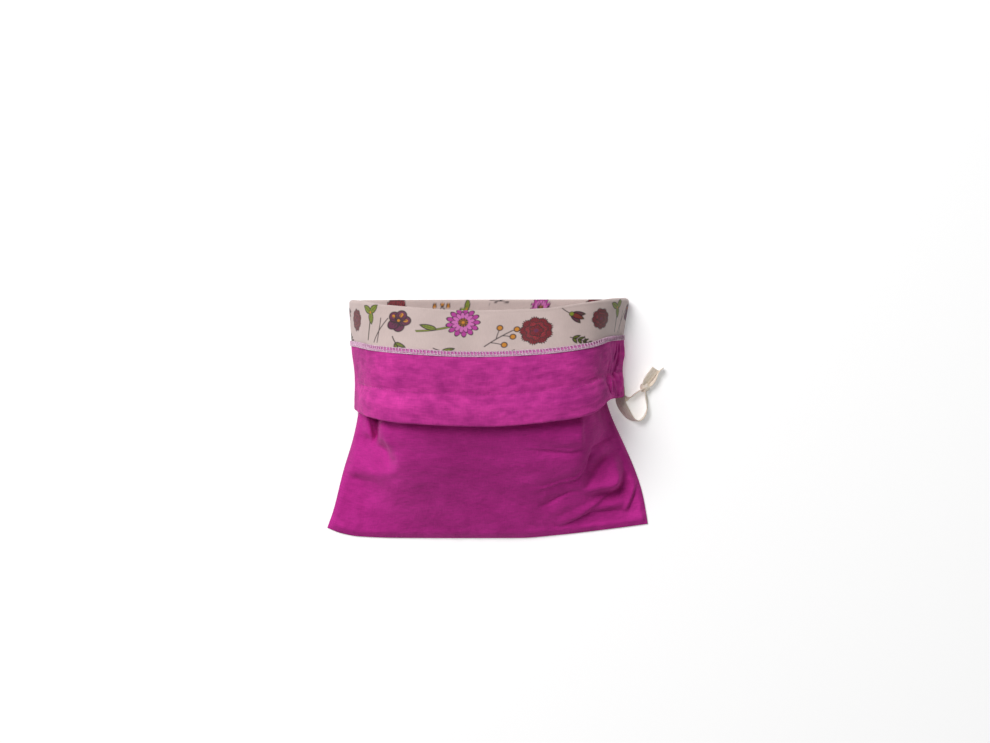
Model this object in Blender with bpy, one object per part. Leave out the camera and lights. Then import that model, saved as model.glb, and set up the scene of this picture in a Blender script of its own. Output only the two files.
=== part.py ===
"""A lined cloth bread bag with a drawstring, lying open on its back with its mouth turned down as a cuff.

Frame: +X across the bag, +Y from its bottom seam to its mouth, +Z up. The origin is on the
surface that the bag lies on, under its middle. Sizes are in millimetres until a mesh is made.

The front and the back panel of the outer cloth are each one folded sheet: the body, the fold at
the mouth, the inner side of the cuff, its rounded rim, and the hem that shows on the cuff. The
lining's two panels run inside the body, over the fold and down the cuff to the hem. A place on a
panel is given by its share across, 0 at the left side seam and 1 at the right one, and its share
along: 0 at the bottom seam and 1 at the mouth, or 0 at the mouth and 1 at the cuff's rim.
"""

import functools
import math
from collections import namedtuple

import bmesh
import bpy
import numpy as np

MM = 0.001  # metres in a millimetre

# Cloth
OUTER = 1.2  # thickness of the outer cloth
LINING = 1.0  # thickness of the lining
GAP = 0.3  # between pieces that touch
LAYER = OUTER + GAP  # from the middle of one outer layer to the next
LINING_CLEAR = 0.5  # between the lining and the outer cloth that it lies against
LINED = OUTER / 2 + LINING_CLEAR + LINING / 2  # from the middle of the outer cloth to the lining's
FLOOR_LAYER = OUTER / 2  # height of the middle of a layer of outer cloth that lies on the surface

# Side and bottom seams: both panels meet there, and the lining stops short of them.
SEAM_ROLL = 3.3  # how far the front rises beside a seam, to leave room for the lining
SEAM_ROLL_WIDTH = 6.5
LINING_INSET = 7.2
LINING_INSET_AT_MOUTH = 3.0
INSET_REACH = 0.15  # the share across that draws in with the lining's edge
LINING_LIFT = 0.05  # between the lining's part of the cuff and the surface
LINING_SLACK = 4.5  # how far the lining hangs clear of the folds pressed into the front, at the most
LINING_SLACK_SHARE = 0.55  # and as a share of the room inside

# Under the cuff the back of the body lies on the two layers of the cuff's back.
BACK_LAYER = 1.8  # from the middle of one of those layers to the next
CUFF_BACK_RISE = 2 * BACK_LAYER
RISE_START_Y = -32.0
RISE_END_Y = -6.0

# The fold at the mouth and the cuff
FOLD_RADIUS = 1.8  # of the outer cloth at the mouth
BACK_FOLD_RADIUS = BACK_LAYER / 2
RIM_RADIUS = 2.2  # of the cuff's rounded lower edge
HEM_START = 0.38  # where the lining ends and the hem begins, as a share of the cuff
SEAM_SLIT = 0.004  # the share of the cuff that parts them
STITCH_LINE = 0.74  # the stitch line over the casing
FOLD_CORNER = 0.1  # the share of the cuff's back over which it widens from the body's width
CUFF_PARTS = (0.8, STITCH_LINE)  # where the cuff's back and front part at the left and right side
SIDE_OPENING = 0.12  # the share of the cuff over which its open sides part
CUFF_BACK_MARGIN = 1.0  # how far the cuff's inner layer on the back runs past the body's sides
CURL_MARGIN = 0.5  # from there to where the shown layer starts to curl up
FOLD_DEPTH_SHARE = 0.4  # how deep a fold sinks at the most, as a share of the room inside
FIRM_EDGE = 11.0  # the strip beside each seam that the folds don't reach
FREE_UP_TO = 0.78  # the share along the body above which it firms up towards the mouth

# Gathers beside the right end of the casing
GATHER_FROM = 0.855
GATHER_TO = 0.985
GATHER_PLEATS = 4
GATHER_DEPTH = 1.5
GATHERS_START = 0.2  # the share along the cuff from which they deepen, over the next GATHERS_GROW
GATHERS_GROW = 0.3

# Drawstring
TAPE_WIDTH = 9.5
TAPE_THICK = 1.2
TAPE_STEP = 3.2  # length of each of its straight facets
KNOT_CENTRE = (156.6, 30.6, 4.9)
KNOT_RADII = (5.6, 4.8, 4.5)
KNOT_SEGMENTS = 12
KNOT_RINGS = 8

# Sections across the front of the body. x is measured from the middle, heights from the seam.
# The foot is the flat strip beside each side seam: how far in it ends, and how high.
Section = namedtuple(
    "Section",
    "along left right left_shoulder right_shoulder left_height crown right_height foot_in foot_up",
)
SECTIONS = (
    Section(0.000, -160.0, 160.0, -95, 97, 0, 0, 0, 25, 0.0),
    Section(0.070, -154.3, 157.5, -97, 99, 9, 15, 8, 26, 2.0),
    Section(0.150, -149.5, 153.8, -96, 100, 22, 30, 20, 24, 5.0),
    Section(0.260, -143.3, 145.5, -93, 100, 43, 50, 41, 18, 8.0),
    Section(0.365, -136.0, 135.3, -91, 98, 62, 67, 59, 12, 13.0),
    Section(0.470, -130.0, 124.5, -89, 93, 74, 81, 72, 8, 15.0),
    Section(0.600, -127.0, 116.5, -88, 89, 80, 90, 78, 6, 15.0),
    Section(0.800, -129.5, 122.5, -89, 91, 78, 91, 77, 6, 15.0),
    Section(1.000, -132.5, 136.0, -91, 94, 65, 78, 64, 6, 15.0),
)

# Outlines: y against the share across
Outline = namedtuple("Outline", "across y")
BOTTOM_SEAM = (
    Outline(0.00, -109.5),
    Outline(0.04, -114.5),
    Outline(0.10, -118.0),
    Outline(0.22, -119.4),
    Outline(0.42, -119.6),
    Outline(0.60, -119.5),
    Outline(0.72, -116.5),
    Outline(0.90, -109.8),
    Outline(1.00, -105.5),
)
FRONT_MOUTH = (
    Outline(0.00, 114.3),
    Outline(0.11, 111.2),
    Outline(0.22, 105.8),
    Outline(0.45, 100.0),
    Outline(0.64, 101.8),
    Outline(0.77, 108.2),
    Outline(0.88, 113.4),
    Outline(1.00, 116.0),
)
BACK_MOUTH = (
    Outline(0.00, 114.3),
    Outline(0.04, 115.2),
    Outline(0.50, 115.8),
    Outline(1.00, 116.0),
)
CUFF_RIM = (
    Outline(0.00, 10.6),
    Outline(0.10, 8.5),
    Outline(0.20, 6.0),
    Outline(0.30, 2.0),
    Outline(0.50, -0.6),
    Outline(0.70, 5.0),
    Outline(0.76, 9.6),
    Outline(0.80, 16.0),
    Outline(0.84, 20.4),
    Outline(0.90, 22.2),
    Outline(1.00, 23.0),
)

# How far the cuff's inner layer stands off the body, and how far the hem stands off that layer
Standoff = namedtuple("Standoff", "along left left_shoulder crown right_shoulder right")
STANDOFF_ACROSS = (0.0, 0.22, 0.5, 0.78, 1.0)
CUFF_STANDOFF = (
    Standoff(0.00, 3.6, 3.6, 3.6, 3.6, 3.6),
    Standoff(0.38, 4.0, 6.0, 6.0, 7.0, 9.5),
    Standoff(0.74, 2.4, 7.0, 7.0, 8.5, 14.5),
    Standoff(1.00, 2.2, 6.0, 8.0, 8.0, 15.5),
)
HEM_STANDOFF = (
    Standoff(0.38, 1.7, 1.7, 1.7, 1.7, 1.7),
    Standoff(0.74, 1.9, 1.9, 1.9, 1.9, 2.6),
    Standoff(0.86, 2.6, 5.0, 5.2, 4.6, 4.4),
    Standoff(1.00, 2.4, 4.4, 4.6, 4.2, 4.2),
)

# Folds pressed into the front of the body: a line seen from above, and how far its trough sinks
# and the ridge beside it stands. The ridge is to the left of a line as one walks along it.
Fold = namedtuple("Fold", "line trough ridge width")
FOLDS = (
    Fold(((-117, 12), (-116, -6), (-111, -24)), 4.5, 2.0, 9),  # the hollow under the cuff's left end
    Fold(((42, -23), (69, -28), (92, -25)), 1.8, 1.2, 6),
    Fold(((121, -14), (106, -26), (102, -41), (92, -57), (79, -63), (58, -68)), 3.2, 1.8, 6.5),
    Fold(((96, -73), (77, -76), (62, -84), (52, -91)), 2.0, 1.2, 6),
    Fold(((137, -53), (132, -66), (112, -78), (92, -91)), 3.4, 2.0, 7),
    Fold(((147, -62), (145, -80), (136, -94)), 2.4, 1.4, 6),
    Fold(((136, -94), (100, -96), (66, -111)), 3.2, 2.0, 9),
)
FOLD_SAMPLES = 25  # points at which a fold's line is read
RIDGE_AWAY = 1.6  # from a trough to the ridge beside it, in widths of the fold
FOLD_END = 0.02  # how much of the fold is left at its two ends, squared

# How finely the sheets are divided
COLUMNS = 27  # across the front, left of the gathers
BACK_COLUMNS = 10
BACK_CURL_COLUMNS = (0.0, 0.006, 0.013, 0.027, 0.055)
BODY_ROWS = 17
LINING_ROWS = (0.07, 0.15, 0.26, 0.4, 0.55, 0.7, 0.82, 0.92, 1)
BACK_ROWS = (0.07, 0.2, 0.33, 0.37, 0.41, 0.45, 0.49, 0.53, 0.75, 1)  # closest where the back rises
TURN_ROWS = 4  # round the fold and round the rim
CUFF_ROWS = (0, 0.13, 0.26, HEM_START, 0.5, 0.62, STITCH_LINE, 0.87, 1)
BACK_CUFF_ROWS = (0, 0.1, 0.22, HEM_START, 0.6, STITCH_LINE, 0.8, 0.86, 0.92, 1)
NUDGE = 0.003  # the step of the differences that give a surface's slope
SECTION_SAMPLES = 400  # points at which a section's length is measured
SECTION_LENGTH = 347.0  # of the cloth across the front, roughly
PANEL_LENGTH = 222.0  # of the body from its bottom seam to its mouth, seen from above


def smooth(share):
    """0 up to 1 with a soft start and end, for a share from 0 to 1."""
    share = np.clip(share, 0, 1)
    return share * share * (3 - 2 * share)


def curve_through(knots, values, slopes):
    """Cubic stretches through values, one for each knot, as a function."""

    def at(where):
        where = np.clip(where, knots[0], knots[-1])
        i = np.clip(np.searchsorted(knots, where, side="right") - 1, 0, len(knots) - 2)
        step = knots[i + 1] - knots[i]
        share = (where - knots[i]) / step
        # One value for each column: a table of columns is read at each column's own place.
        start, end = i, i + 1
        if values.ndim == 3:
            column = np.arange(values.shape[1])
            start, end = (i, column), (i + 1, column)
        if values.ndim > 1:
            share, step = np.asarray(share)[..., None], np.asarray(step)[..., None]
        level = smooth(share)
        leaving = share * (1 - share) ** 2 * step * slopes[start]
        arriving = share**2 * (1 - share) * step * slopes[end]
        return values[start] * (1 - level) + values[end] * level + leaving - arriving

    return at


def spline(knots, values):
    """The smoothest curve through values."""
    knots, values = np.array(knots, float), np.array(values, float)
    count = len(knots)
    step = np.diff(knots)
    rise = np.diff(values, axis=0) / step.reshape(-1, *[1] * (values.ndim - 1))
    system = 2 * np.eye(count)
    system[0, 1] = system[-1, -2] = 1
    change = np.zeros_like(values)
    change[0], change[-1] = 3 * rise[0], 3 * rise[-1]
    for i in range(1, count - 1):
        system[i, i - 1 : i + 2] = step[i], 2 * (step[i - 1] + step[i]), step[i - 1]
        change[i] = 3 * (step[i] * rise[i - 1] + step[i - 1] * rise[i])
    slopes = np.linalg.solve(system, change.reshape(count, -1)).reshape(values.shape)
    return curve_through(knots, values, slopes)


def steady(knots, values):
    """A curve through values that never swings past them."""
    knots, values = np.array(knots, float), np.array(values, float)
    rise = np.diff(values, axis=0) / np.diff(knots).reshape(-1, *[1] * (values.ndim - 1))
    slopes = np.concatenate([rise[:1], np.zeros_like(rise[1:]), rise[-1:]])
    same_way = rise[:-1] * rise[1:] > 0
    slopes[1:-1][same_way] = 2 / (1 / rise[:-1][same_way] + 1 / rise[1:][same_way])
    return curve_through(knots, values, slopes)


def outline(points):
    return steady([p.across for p in points], [p.y for p in points])


bottom_seam = outline(BOTTOM_SEAM)
front_mouth = outline(FRONT_MOUTH)
back_mouth = outline(BACK_MOUTH)
cuff_rim = outline(CUFF_RIM)


def standoff(rows):
    """A table of standoffs as a function of the shares across and along."""
    across_rows = steady(STANDOFF_ACROSS, np.transpose([row[1:] for row in rows]))

    def at(across, along):
        columns = across_rows(np.array(across)).T[:, :, None]
        return steady([row.along for row in rows], columns)(along)[:, 0]

    return at


cuff_standoff = standoff(CUFF_STANDOFF)
hem_standoff = standoff(HEM_STANDOFF)


def section_curve(section, across):
    """x and height along one section, at shares of its length."""
    points = np.array(
        [
            (section.left, 0),
            (section.left + section.foot_in, section.foot_up),
            (section.left_shoulder, section.left_height),
            ((section.left_shoulder + section.right_shoulder) / 2, section.crown),
            (section.right_shoulder, section.right_height),
            (section.right - section.foot_in, section.foot_up),
            (section.right, 0),
        ]
    )
    chords = np.linalg.norm(np.diff(points, axis=0), axis=1)
    curve = spline(np.concatenate([[0], np.cumsum(chords)]), points)
    fine = np.linspace(0, chords.sum(), SECTION_SAMPLES)
    lengths = np.linalg.norm(np.diff(curve(fine), axis=0), axis=1)
    travelled = np.concatenate([[0], np.cumsum(lengths)])
    return curve(np.interp(np.array(across) * travelled[-1], travelled, fine))


@functools.lru_cache(maxsize=None)
def loft(across):
    """The sections read at these shares across, as a smooth function of each column's share along."""
    return spline([s.along for s in SECTIONS], [section_curve(s, across) for s in SECTIONS])


def back_level(y):
    """Height of the middle of the body's back layer."""
    rise = smooth((y - RISE_START_Y) / (RISE_END_Y - RISE_START_Y))
    return FLOOR_LAYER + CUFF_BACK_RISE * rise


def edge_distance(across, along):
    """Roughly how far a place on the front of the body is from its side seams, and from its bottom seam."""
    across = np.array(across)
    to_side = np.minimum(across, 1 - across) * SECTION_LENGTH
    to_bottom = along * (front_mouth(across) - bottom_seam(across))
    return to_side, to_bottom


def body_form(across, along):
    """The middle of the outer front panel on the body, without its folds."""
    shares = np.array(across)
    along = np.broadcast_to(along, shares.shape)
    x, height = loft(across)(along).T
    y = bottom_seam(shares) + (front_mouth(shares) - bottom_seam(shares)) * along
    to_side, to_bottom = edge_distance(across, along)
    roll = SEAM_ROLL * smooth(to_side / SEAM_ROLL_WIDTH) * smooth(to_bottom / SEAM_ROLL_WIDTH)
    return np.stack([x, y, back_level(y) + LAYER + height + roll], axis=1)


def normals(surface, across, along, side=1):
    """Unit normals of a surface, out of the bag. side is -1 where along runs down the cuff."""
    shares = np.array(across)
    along = np.broadcast_to(along, shares.shape)
    wider = tuple(np.clip(shares + NUDGE, 0, 1))
    narrower = tuple(np.clip(shares - NUDGE, 0, 1))
    over = surface(wider, along) - surface(narrower, along)
    up = surface(across, np.clip(along + NUDGE, 0, 1)) - surface(across, np.clip(along - NUDGE, 0, 1))
    direction = side * np.cross(over, up)
    return direction / np.linalg.norm(direction, axis=1)[:, None]


@functools.lru_cache(maxsize=None)
def fold_line(line):
    """A fold's line as points on a smooth curve, and the way it runs at each."""
    curve = spline(np.linspace(0, 1, len(line)), line)(np.linspace(0, 1, FOLD_SAMPLES))
    run = np.gradient(curve, axis=0)
    return curve, run / np.linalg.norm(run, axis=1)[:, None]


def fold_offset(points):
    """How far the folds move points of the body along its normal."""
    total = np.zeros(len(points))
    for fold in FOLDS:
        curve, run = fold_line(fold.line)
        away = points[:, None, :2] - curve[None]
        nearest = np.linalg.norm(away, axis=2).argmin(axis=1)
        chosen = away[np.arange(len(points)), nearest]
        heading = run[nearest]
        beside = heading[:, 0] * chosen[:, 1] - heading[:, 1] * chosen[:, 0]
        beyond = np.abs(heading[:, 0] * chosen[:, 0] + heading[:, 1] * chosen[:, 1])
        share = nearest / (FOLD_SAMPLES - 1)
        taper = np.sqrt(4 * share * (1 - share) + FOLD_END) * np.exp(-((beyond / fold.width) ** 2))
        trough = -fold.trough * np.exp(-((beside / fold.width) ** 2))
        ridge = fold.ridge * np.exp(-(((beside - RIDGE_AWAY * fold.width) / fold.width) ** 2))
        total += taper * (trough + ridge)
    return total


def inner_room(points):
    """How much of the height over points of the body's front is free, beside the cloth itself."""
    return np.clip(points[:, 2] - back_level(points[:, 1]) - 2 * LINED - LINING - GAP, 0, None)


def free_share(across, along):
    """0 at the body's seams and near its mouth, and 1 where its cloth is free to fold."""
    to_side, to_bottom = edge_distance(across, along)
    near_mouth = smooth((np.broadcast_to(along, to_side.shape) - FREE_UP_TO) / (1 - FREE_UP_TO))
    return smooth(to_side / FIRM_EDGE) * smooth(to_bottom / FIRM_EDGE) * (1 - near_mouth)


def body(across, along):
    """The middle of the outer front panel on the body."""
    points = body_form(across, along)
    offset = fold_offset(points) * free_share(across, along)
    offset = np.maximum(offset, -inner_room(points) * FOLD_DEPTH_SHARE)
    return points + normals(body_form, across, along) * offset[:, None]


def gathers(across, along):
    """Pleats on the cuff's right flank, which deepen down to the casing."""
    across = np.array(across)
    share = (across - GATHER_FROM) / (GATHER_TO - GATHER_FROM)
    inside = (share > 0) & (share < 1)
    wave = 0.5 - 0.5 * np.cos(2 * math.pi * GATHER_PLEATS * share)
    return -GATHER_DEPTH * inside * wave * smooth((along - GATHERS_START) / GATHERS_GROW)


def body_share(across, y):
    """The share along the body at which it reaches a height y."""
    across = np.array(across)
    return (y - bottom_seam(across)) / (front_mouth(across) - bottom_seam(across))


def cuff(across, along):
    """The middle of the front cuff's inner layer."""
    shares = np.array(across)
    y = front_mouth(shares) + (cuff_rim(shares) - front_mouth(shares)) * along
    below = body_share(across, y)
    offset = cuff_standoff(shares, along) + gathers(across, along)
    points = body_form(across, below) + normals(body_form, across, below) * offset[:, None]
    points[:, 1] = y
    return points


def band(across, along, offset):
    """The cuff's inner layer moved out by an offset."""
    return cuff(across, along) + normals(cuff, across, along, -1) * np.reshape(offset, (-1, 1))


def hem(across, along):
    """The middle of the hem, which shows on the front of the cuff."""
    return band(across, along, hem_standoff(np.array(across), along))


def turn(start, end, reach):
    """Rows of points round a half turn from one row to another, which reaches so far past them along Y."""
    middle, half = (start + end) / 2, (start - end) / 2
    found = []
    for step in range(1, TURN_ROWS):
        angle = math.pi * step / TURN_ROWS
        row = middle + half * math.cos(angle)
        row[:, 1] += reach * math.sin(angle)
        found.append(row)
    return found


def back_y(across, along, start, end):
    """y on the back between two outlines."""
    return start(across) + (end(across) - start(across)) * along


def back_body(across, along):
    """The middle of the outer back panel on the body, which ends at the sides where the front does."""
    shares = np.array(across)
    left, right = body_form((0.0, 1.0), along)
    y = back_y(shares, along, bottom_seam, back_mouth)
    return np.stack([left[0] + (right[0] - left[0]) * shares, y, back_level(y)], axis=1)


def body_sides(left_y, right_y):
    """x of the body's left side seam at one height y, and of its right one at another."""
    ends = (0.0, 1.0)
    left, right = body_form(ends, body_share(ends, np.clip((left_y, right_y), None, front_mouth(ends))))
    return left[0], right[0]


def cuff_back_ends(surface, along):
    """At each side of the cuff's back: its edge, where its flat middle ends, and how far it curls up.

    The curl is gone at the fold, near the rim on the left, and from the stitch line on at the
    right, where the casing is open for the tape. The inner layer widens to the edge after that.
    """
    found = []
    body_ends = body_sides(*back_y(np.array((0.0, 1.0)), along, back_mouth, cuff_rim))
    front_ends = surface((0.0, 1.0), along)
    from_fold = smooth(along / FOLD_CORNER)
    for body_end, front_end, parting, out in zip(body_ends, front_ends, CUFF_PARTS, (-1, 1)):
        parted = parting + SIDE_OPENING
        curled = smooth((parted - along) / SIDE_OPENING) * smooth(along / FOLD_CORNER - 1)
        narrow = smooth((1 - along) / (1 - parted))
        flat = front_end[0] + (body_end + out * CUFF_BACK_MARGIN - front_end[0]) * narrow
        edge, flat = (body_end + (x - body_end) * from_fold for x in (front_end[0], flat))
        found.append((edge, flat, curled * (front_end[2] - LAYER)))
    return found


def back_inner(across, along):
    """The middle of the inner layer of the cuff's back, which is flat."""
    shares = np.array(across)
    (_, left, _), (_, right, _) = cuff_back_ends(hem, along)
    y = back_y(shares, along, back_mouth, cuff_rim)
    return np.stack([left + (right - left) * shares, y, np.full_like(y, FLOOR_LAYER + BACK_LAYER)], axis=1)


def back_shown(surface, across, along, level):
    """A layer on the floor side of the cuff, its sides curled up to where a surface of the front ends."""
    shares = np.array(across)
    left, right = cuff_back_ends(surface, along)
    x = left[0] + (right[0] - left[0]) * shares
    z = np.full_like(x, level)
    for edge, flat, top in (left, right):
        width = max(abs(edge - flat) - CURL_MARGIN, GAP)
        z += max(top - level, 0) * np.clip(1 - np.abs(x - edge) / width, 0, 1) ** 2
    return np.stack([x, back_y(shares, along, back_mouth, cuff_rim), z], axis=1)


def front_columns():
    """Shares across the front: even, with one beside each seam and on each pleat's top and trough."""
    seam = SEAM_ROLL_WIDTH / SECTION_LENGTH
    even = np.linspace(seam, GATHER_FROM, COLUMNS)
    pleats = np.linspace(GATHER_FROM, GATHER_TO, 2 * GATHER_PLEATS + 1)[1:]
    return (0.0, *even, *pleats, 1.0)


def back_columns():
    """Shares across the back: even, with a few more beside the seams, where the cuff's sides curl up."""
    even = np.linspace(BACK_CURL_COLUMNS[-1], 1 - BACK_CURL_COLUMNS[-1], BACK_COLUMNS)
    return (*BACK_CURL_COLUMNS[:-1], *even, *(1 - share for share in reversed(BACK_CURL_COLUMNS[:-1])))


def inset_columns(columns, along):
    """The same columns, with the outer ones moved in to where the lining ends."""
    columns = np.array(columns)
    near_mouth = smooth((along - FREE_UP_TO) / (1 - FREE_UP_TO))
    inset = LINING_INSET + (LINING_INSET_AT_MOUTH - LINING_INSET) * near_mouth
    from_left = 1 - smooth(columns / INSET_REACH)
    from_right = 1 - smooth((1 - columns) / INSET_REACH)
    return tuple(columns + (from_left - from_right) * inset / SECTION_LENGTH)


def add_sheet(name, rows, thickness, material):
    """One closed sheet of cloth: rows of points down its middle, given a thickness."""
    rows = np.array(rows) * MM
    count, width = rows.shape[:2]
    mesh = bpy.data.meshes.new(name)
    corner = np.arange(count * width).reshape(count, width)
    faces = np.stack([corner[:-1, :-1], corner[:-1, 1:], corner[1:, 1:], corner[1:, :-1]], axis=-1)
    mesh.from_pydata(rows.reshape(-1, 3).tolist(), [], faces.reshape(-1, 4).tolist())
    mesh.materials.append(material)
    mesh.shade_smooth()
    piece = bpy.data.objects.new(name, mesh)
    bpy.context.collection.objects.link(piece)
    cloth = piece.modifiers.new("cloth", "SOLIDIFY")
    cloth.thickness = thickness * MM
    cloth.offset = 0
    return piece


def add_material(name, colour, roughness):
    material = bpy.data.materials.new(name)
    material.use_nodes = True
    shader = material.node_tree.nodes["Principled BSDF"]
    shader.inputs["Base Color"].default_value = (*colour, 1)
    shader.inputs["Roughness"].default_value = roughness
    shader.inputs["Metallic"].default_value = 0
    return material


def add_outer_front(material):
    columns = front_columns()
    alongs = (0.0, *np.linspace(SEAM_ROLL_WIDTH / PANEL_LENGTH, 1, BODY_ROWS))
    rows = [body(columns, along) for along in alongs]
    rows += turn(rows[-1], cuff(columns, 0.0), FOLD_RADIUS)
    rows += [cuff(columns, along) for along in CUFF_ROWS]
    rows += turn(rows[-1], hem(columns, 1.0), -RIM_RADIUS)
    rows += [hem(columns, along) for along in reversed(CUFF_ROWS) if along >= HEM_START]
    return add_sheet("outer_front", rows, OUTER, material)


def add_outer_back(material):
    columns = back_columns()
    rows = [back_body(columns, along) for along in (0, *BACK_ROWS)]
    inner = [back_inner(columns, along) for along in BACK_CUFF_ROWS]
    rows += turn(rows[-1], inner[0], BACK_FOLD_RADIUS) + inner
    shown = [back_shown(hem, columns, along, FLOOR_LAYER) for along in BACK_CUFF_ROWS if along >= HEM_START]
    rows += turn(rows[-1], shown[-1], -BACK_FOLD_RADIUS) + shown[::-1]
    return add_sheet("outer_back", rows, OUTER, material)


def lining_band(across, along):
    """The middle of the lining where it shows on the front of the cuff."""
    return band(across, along, LINED)


def add_lining_front(material):
    columns = front_columns()
    rows = []
    for along in (LINING_INSET / PANEL_LENGTH, *LINING_ROWS):
        inside = inset_columns(columns, along)
        row = body_form(inside, along)
        slack = np.minimum(inner_room(row) * LINING_SLACK_SHARE, LINING_SLACK) * free_share(inside, along)
        rows.append(row - normals(body_form, inside, along) * (LINED + slack)[:, None])
    shown = [lining_band(columns, along) for along in CUFF_ROWS if along < HEM_START]
    shown.append(lining_band(columns, HEM_START - SEAM_SLIT))
    rows += turn(rows[-1], shown[0], FOLD_RADIUS + LINED) + shown
    return add_sheet("lining_front", rows, LINING, material)


def add_lining_back(material):
    columns = back_columns()
    rows = []
    for along in (LINING_INSET / PANEL_LENGTH, *BACK_ROWS):
        row = back_body(inset_columns(columns, along), along)
        row[:, 2] += LINED
        rows.append(row)
    level = LINING / 2 + LINING_LIFT
    alongs = [along for along in BACK_CUFF_ROWS if along < HEM_START]
    shown = [back_shown(lining_band, columns, along, level) for along in (*alongs, HEM_START - SEAM_SLIT)]
    rows += turn(rows[-1], shown[0], BACK_FOLD_RADIUS + LINED + 2 * GAP) + shown
    return add_sheet("lining_back", rows, LINING, material)


# The drawstring's stretches: places along the middle of the tape, and its lean there in degrees,
# 0 where it lies flat and 90 where it stands on its edge.
TapePoint = namedtuple("TapePoint", "x y z lean")
Stretch = namedtuple("Stretch", "name width points")
LOOP = (
    TapePoint(131.4, 31.0, 7.4, 4),
    TapePoint(131.9, 23.0, 7.4, 4),
    TapePoint(132.6, 16.4, 7.6, 10),
    TapePoint(136.7, 8.2, 6.6, 28),
    TapePoint(140.9, 2.3, 5.7, 50),
    TapePoint(146.0, -1.7, 5.3, 75),
    TapePoint(151.8, -2.4, 5.1, 90),
    TapePoint(156.4, 2.0, 5.1, 92),
    TapePoint(158.9, 9.2, 5.2, 84),
    TapePoint(158.8, 17.2, 5.2, 72),
    TapePoint(157.6, 24.4, 5.0, 76),
    TapePoint(156.6, 30.6, 4.9, 90),
)
SHORT_STRAND = (
    TapePoint(128.5, 29.0, 4.6, 5),
    TapePoint(132.0, 22.5, 4.4, 14),
    TapePoint(137.0, 19.4, 4.8, 50),
    TapePoint(143.0, 21.2, 5.2, 86),
    TapePoint(148.5, 25.4, 5.1, 90),
    TapePoint(156.0, 29.6, 5.0, 90),
)
UPPER_TAIL = (
    TapePoint(155.8, 31.0, 5.0, 60),
    TapePoint(157.4, 38.0, 5.4, 48),
    TapePoint(161.4, 44.0, 6.4, 42),
    TapePoint(166.4, 50.0, 7.6, 36),
)
LOWER_TAIL = (
    TapePoint(157.5, 30.5, 5.0, 110),
    TapePoint(163.4, 34.6, 5.0, 112),
    TapePoint(168.4, 41.0, 5.2, 106),
    TapePoint(171.0, 46.2, 5.6, 96),
    TapePoint(175.0, 50.2, 6.0, 84),
)
STRETCHES = (
    Stretch("loop", TAPE_WIDTH, LOOP),
    Stretch("short_strand", TAPE_WIDTH, SHORT_STRAND),
    Stretch("upper_tail", 8.1, UPPER_TAIL),
    Stretch("lower_tail", 7.6, LOWER_TAIL),
)


def add_ribbon(stretch):
    """One stretch of the tape, as a helper that a Boolean joins."""
    places = np.array(stretch.points)
    chords = np.linalg.norm(np.diff(places[:, :3], axis=0), axis=1)
    line = spline(np.concatenate([[0], np.cumsum(chords)]), places)
    where = np.linspace(0, chords.sum(), max(3, round(chords.sum() / TAPE_STEP) + 1))
    middle, lean = line(where)[:, :3], np.radians(line(where)[:, 3])
    run = np.gradient(middle, axis=0)
    run /= np.linalg.norm(run, axis=1)[:, None]
    level = np.cross(run, (0, 0, 1))
    level /= np.linalg.norm(level, axis=1)[:, None]
    upright = np.cross(level, run)
    over = level * np.cos(lean)[:, None] - upright * np.sin(lean)[:, None]
    out = np.cross(over, run)
    shape = bmesh.new()
    rings = []
    for centre, side, face in zip(middle, over * stretch.width / 2, out * TAPE_THICK / 2):
        corners = (centre + side + face, centre - side + face, centre - side - face, centre + side - face)
        rings.append([shape.verts.new(corner * MM) for corner in corners])
    for ring, following in zip(rings, rings[1:]):
        for i in range(4):
            shape.faces.new((ring[i], ring[(i + 1) % 4], following[(i + 1) % 4], following[i]))
    shape.faces.new(reversed(rings[0]))
    shape.faces.new(rings[-1])
    bmesh.ops.recalc_face_normals(shape, faces=shape.faces)
    return add_shape(stretch.name, shape)


def add_shape(name, shape):
    """An object from a bmesh."""
    mesh = bpy.data.meshes.new(name)
    shape.to_mesh(mesh)
    shape.free()
    piece = bpy.data.objects.new(name, mesh)
    bpy.context.collection.objects.link(piece)
    return piece


def add_knot():
    """The knot's lump."""
    shape = bmesh.new()
    bmesh.ops.create_uvsphere(shape, u_segments=KNOT_SEGMENTS, v_segments=KNOT_RINGS, radius=1)
    for vert in shape.verts:
        vert.co = (np.array(KNOT_CENTRE) + np.array(KNOT_RADII) * vert.co) * MM
    return add_shape("drawstring", shape)


def add_drawstring(material):
    """Both strands, the knot and the tails, joined into the one tape that they are."""
    knot = add_knot()
    knot.data.materials.append(material)
    knot.data.shade_smooth()
    for stretch in STRETCHES:
        ribbon = add_ribbon(stretch)
        ribbon.hide_render = True
        ribbon.display_type = "WIRE"
        join = knot.modifiers.new(stretch.name, "BOOLEAN")
        join.operation = "UNION"
        join.object = ribbon
    return knot


def main():
    for item in list(bpy.data.objects):
        bpy.data.objects.remove(item)
    outer = add_material("outer_cloth", (0.36, 0.018, 0.17), 0.85)
    lining = add_material("lining_cloth", (0.78, 0.68, 0.66), 0.6)
    tape = add_material("cotton_tape", (0.72, 0.64, 0.54), 0.9)
    add_outer_front(outer)
    add_outer_back(outer)
    add_lining_front(lining)
    add_lining_back(lining)
    add_drawstring(tape)


main()
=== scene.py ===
"""The looks of the lined cloth bread bag: thin cloth with its folds, print, seams and drawstring.

Sizes are in millimetres until a mesh is made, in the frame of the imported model: +X across the
bag, +Y from its bottom seam to its mouth, +Z up. A place on a panel is given by its share across,
0 at the left side seam and 1 at the right one, and its share along: 0 at the bottom seam and 1 at
the mouth, or 0 at the mouth and 1 at the cuff's rim. The cloth's texture and print are laid out
in millimetres on the flat cloth, before it was folded, which is also each mesh's UV map.
"""

import functools
import math
from collections import namedtuple

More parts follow.
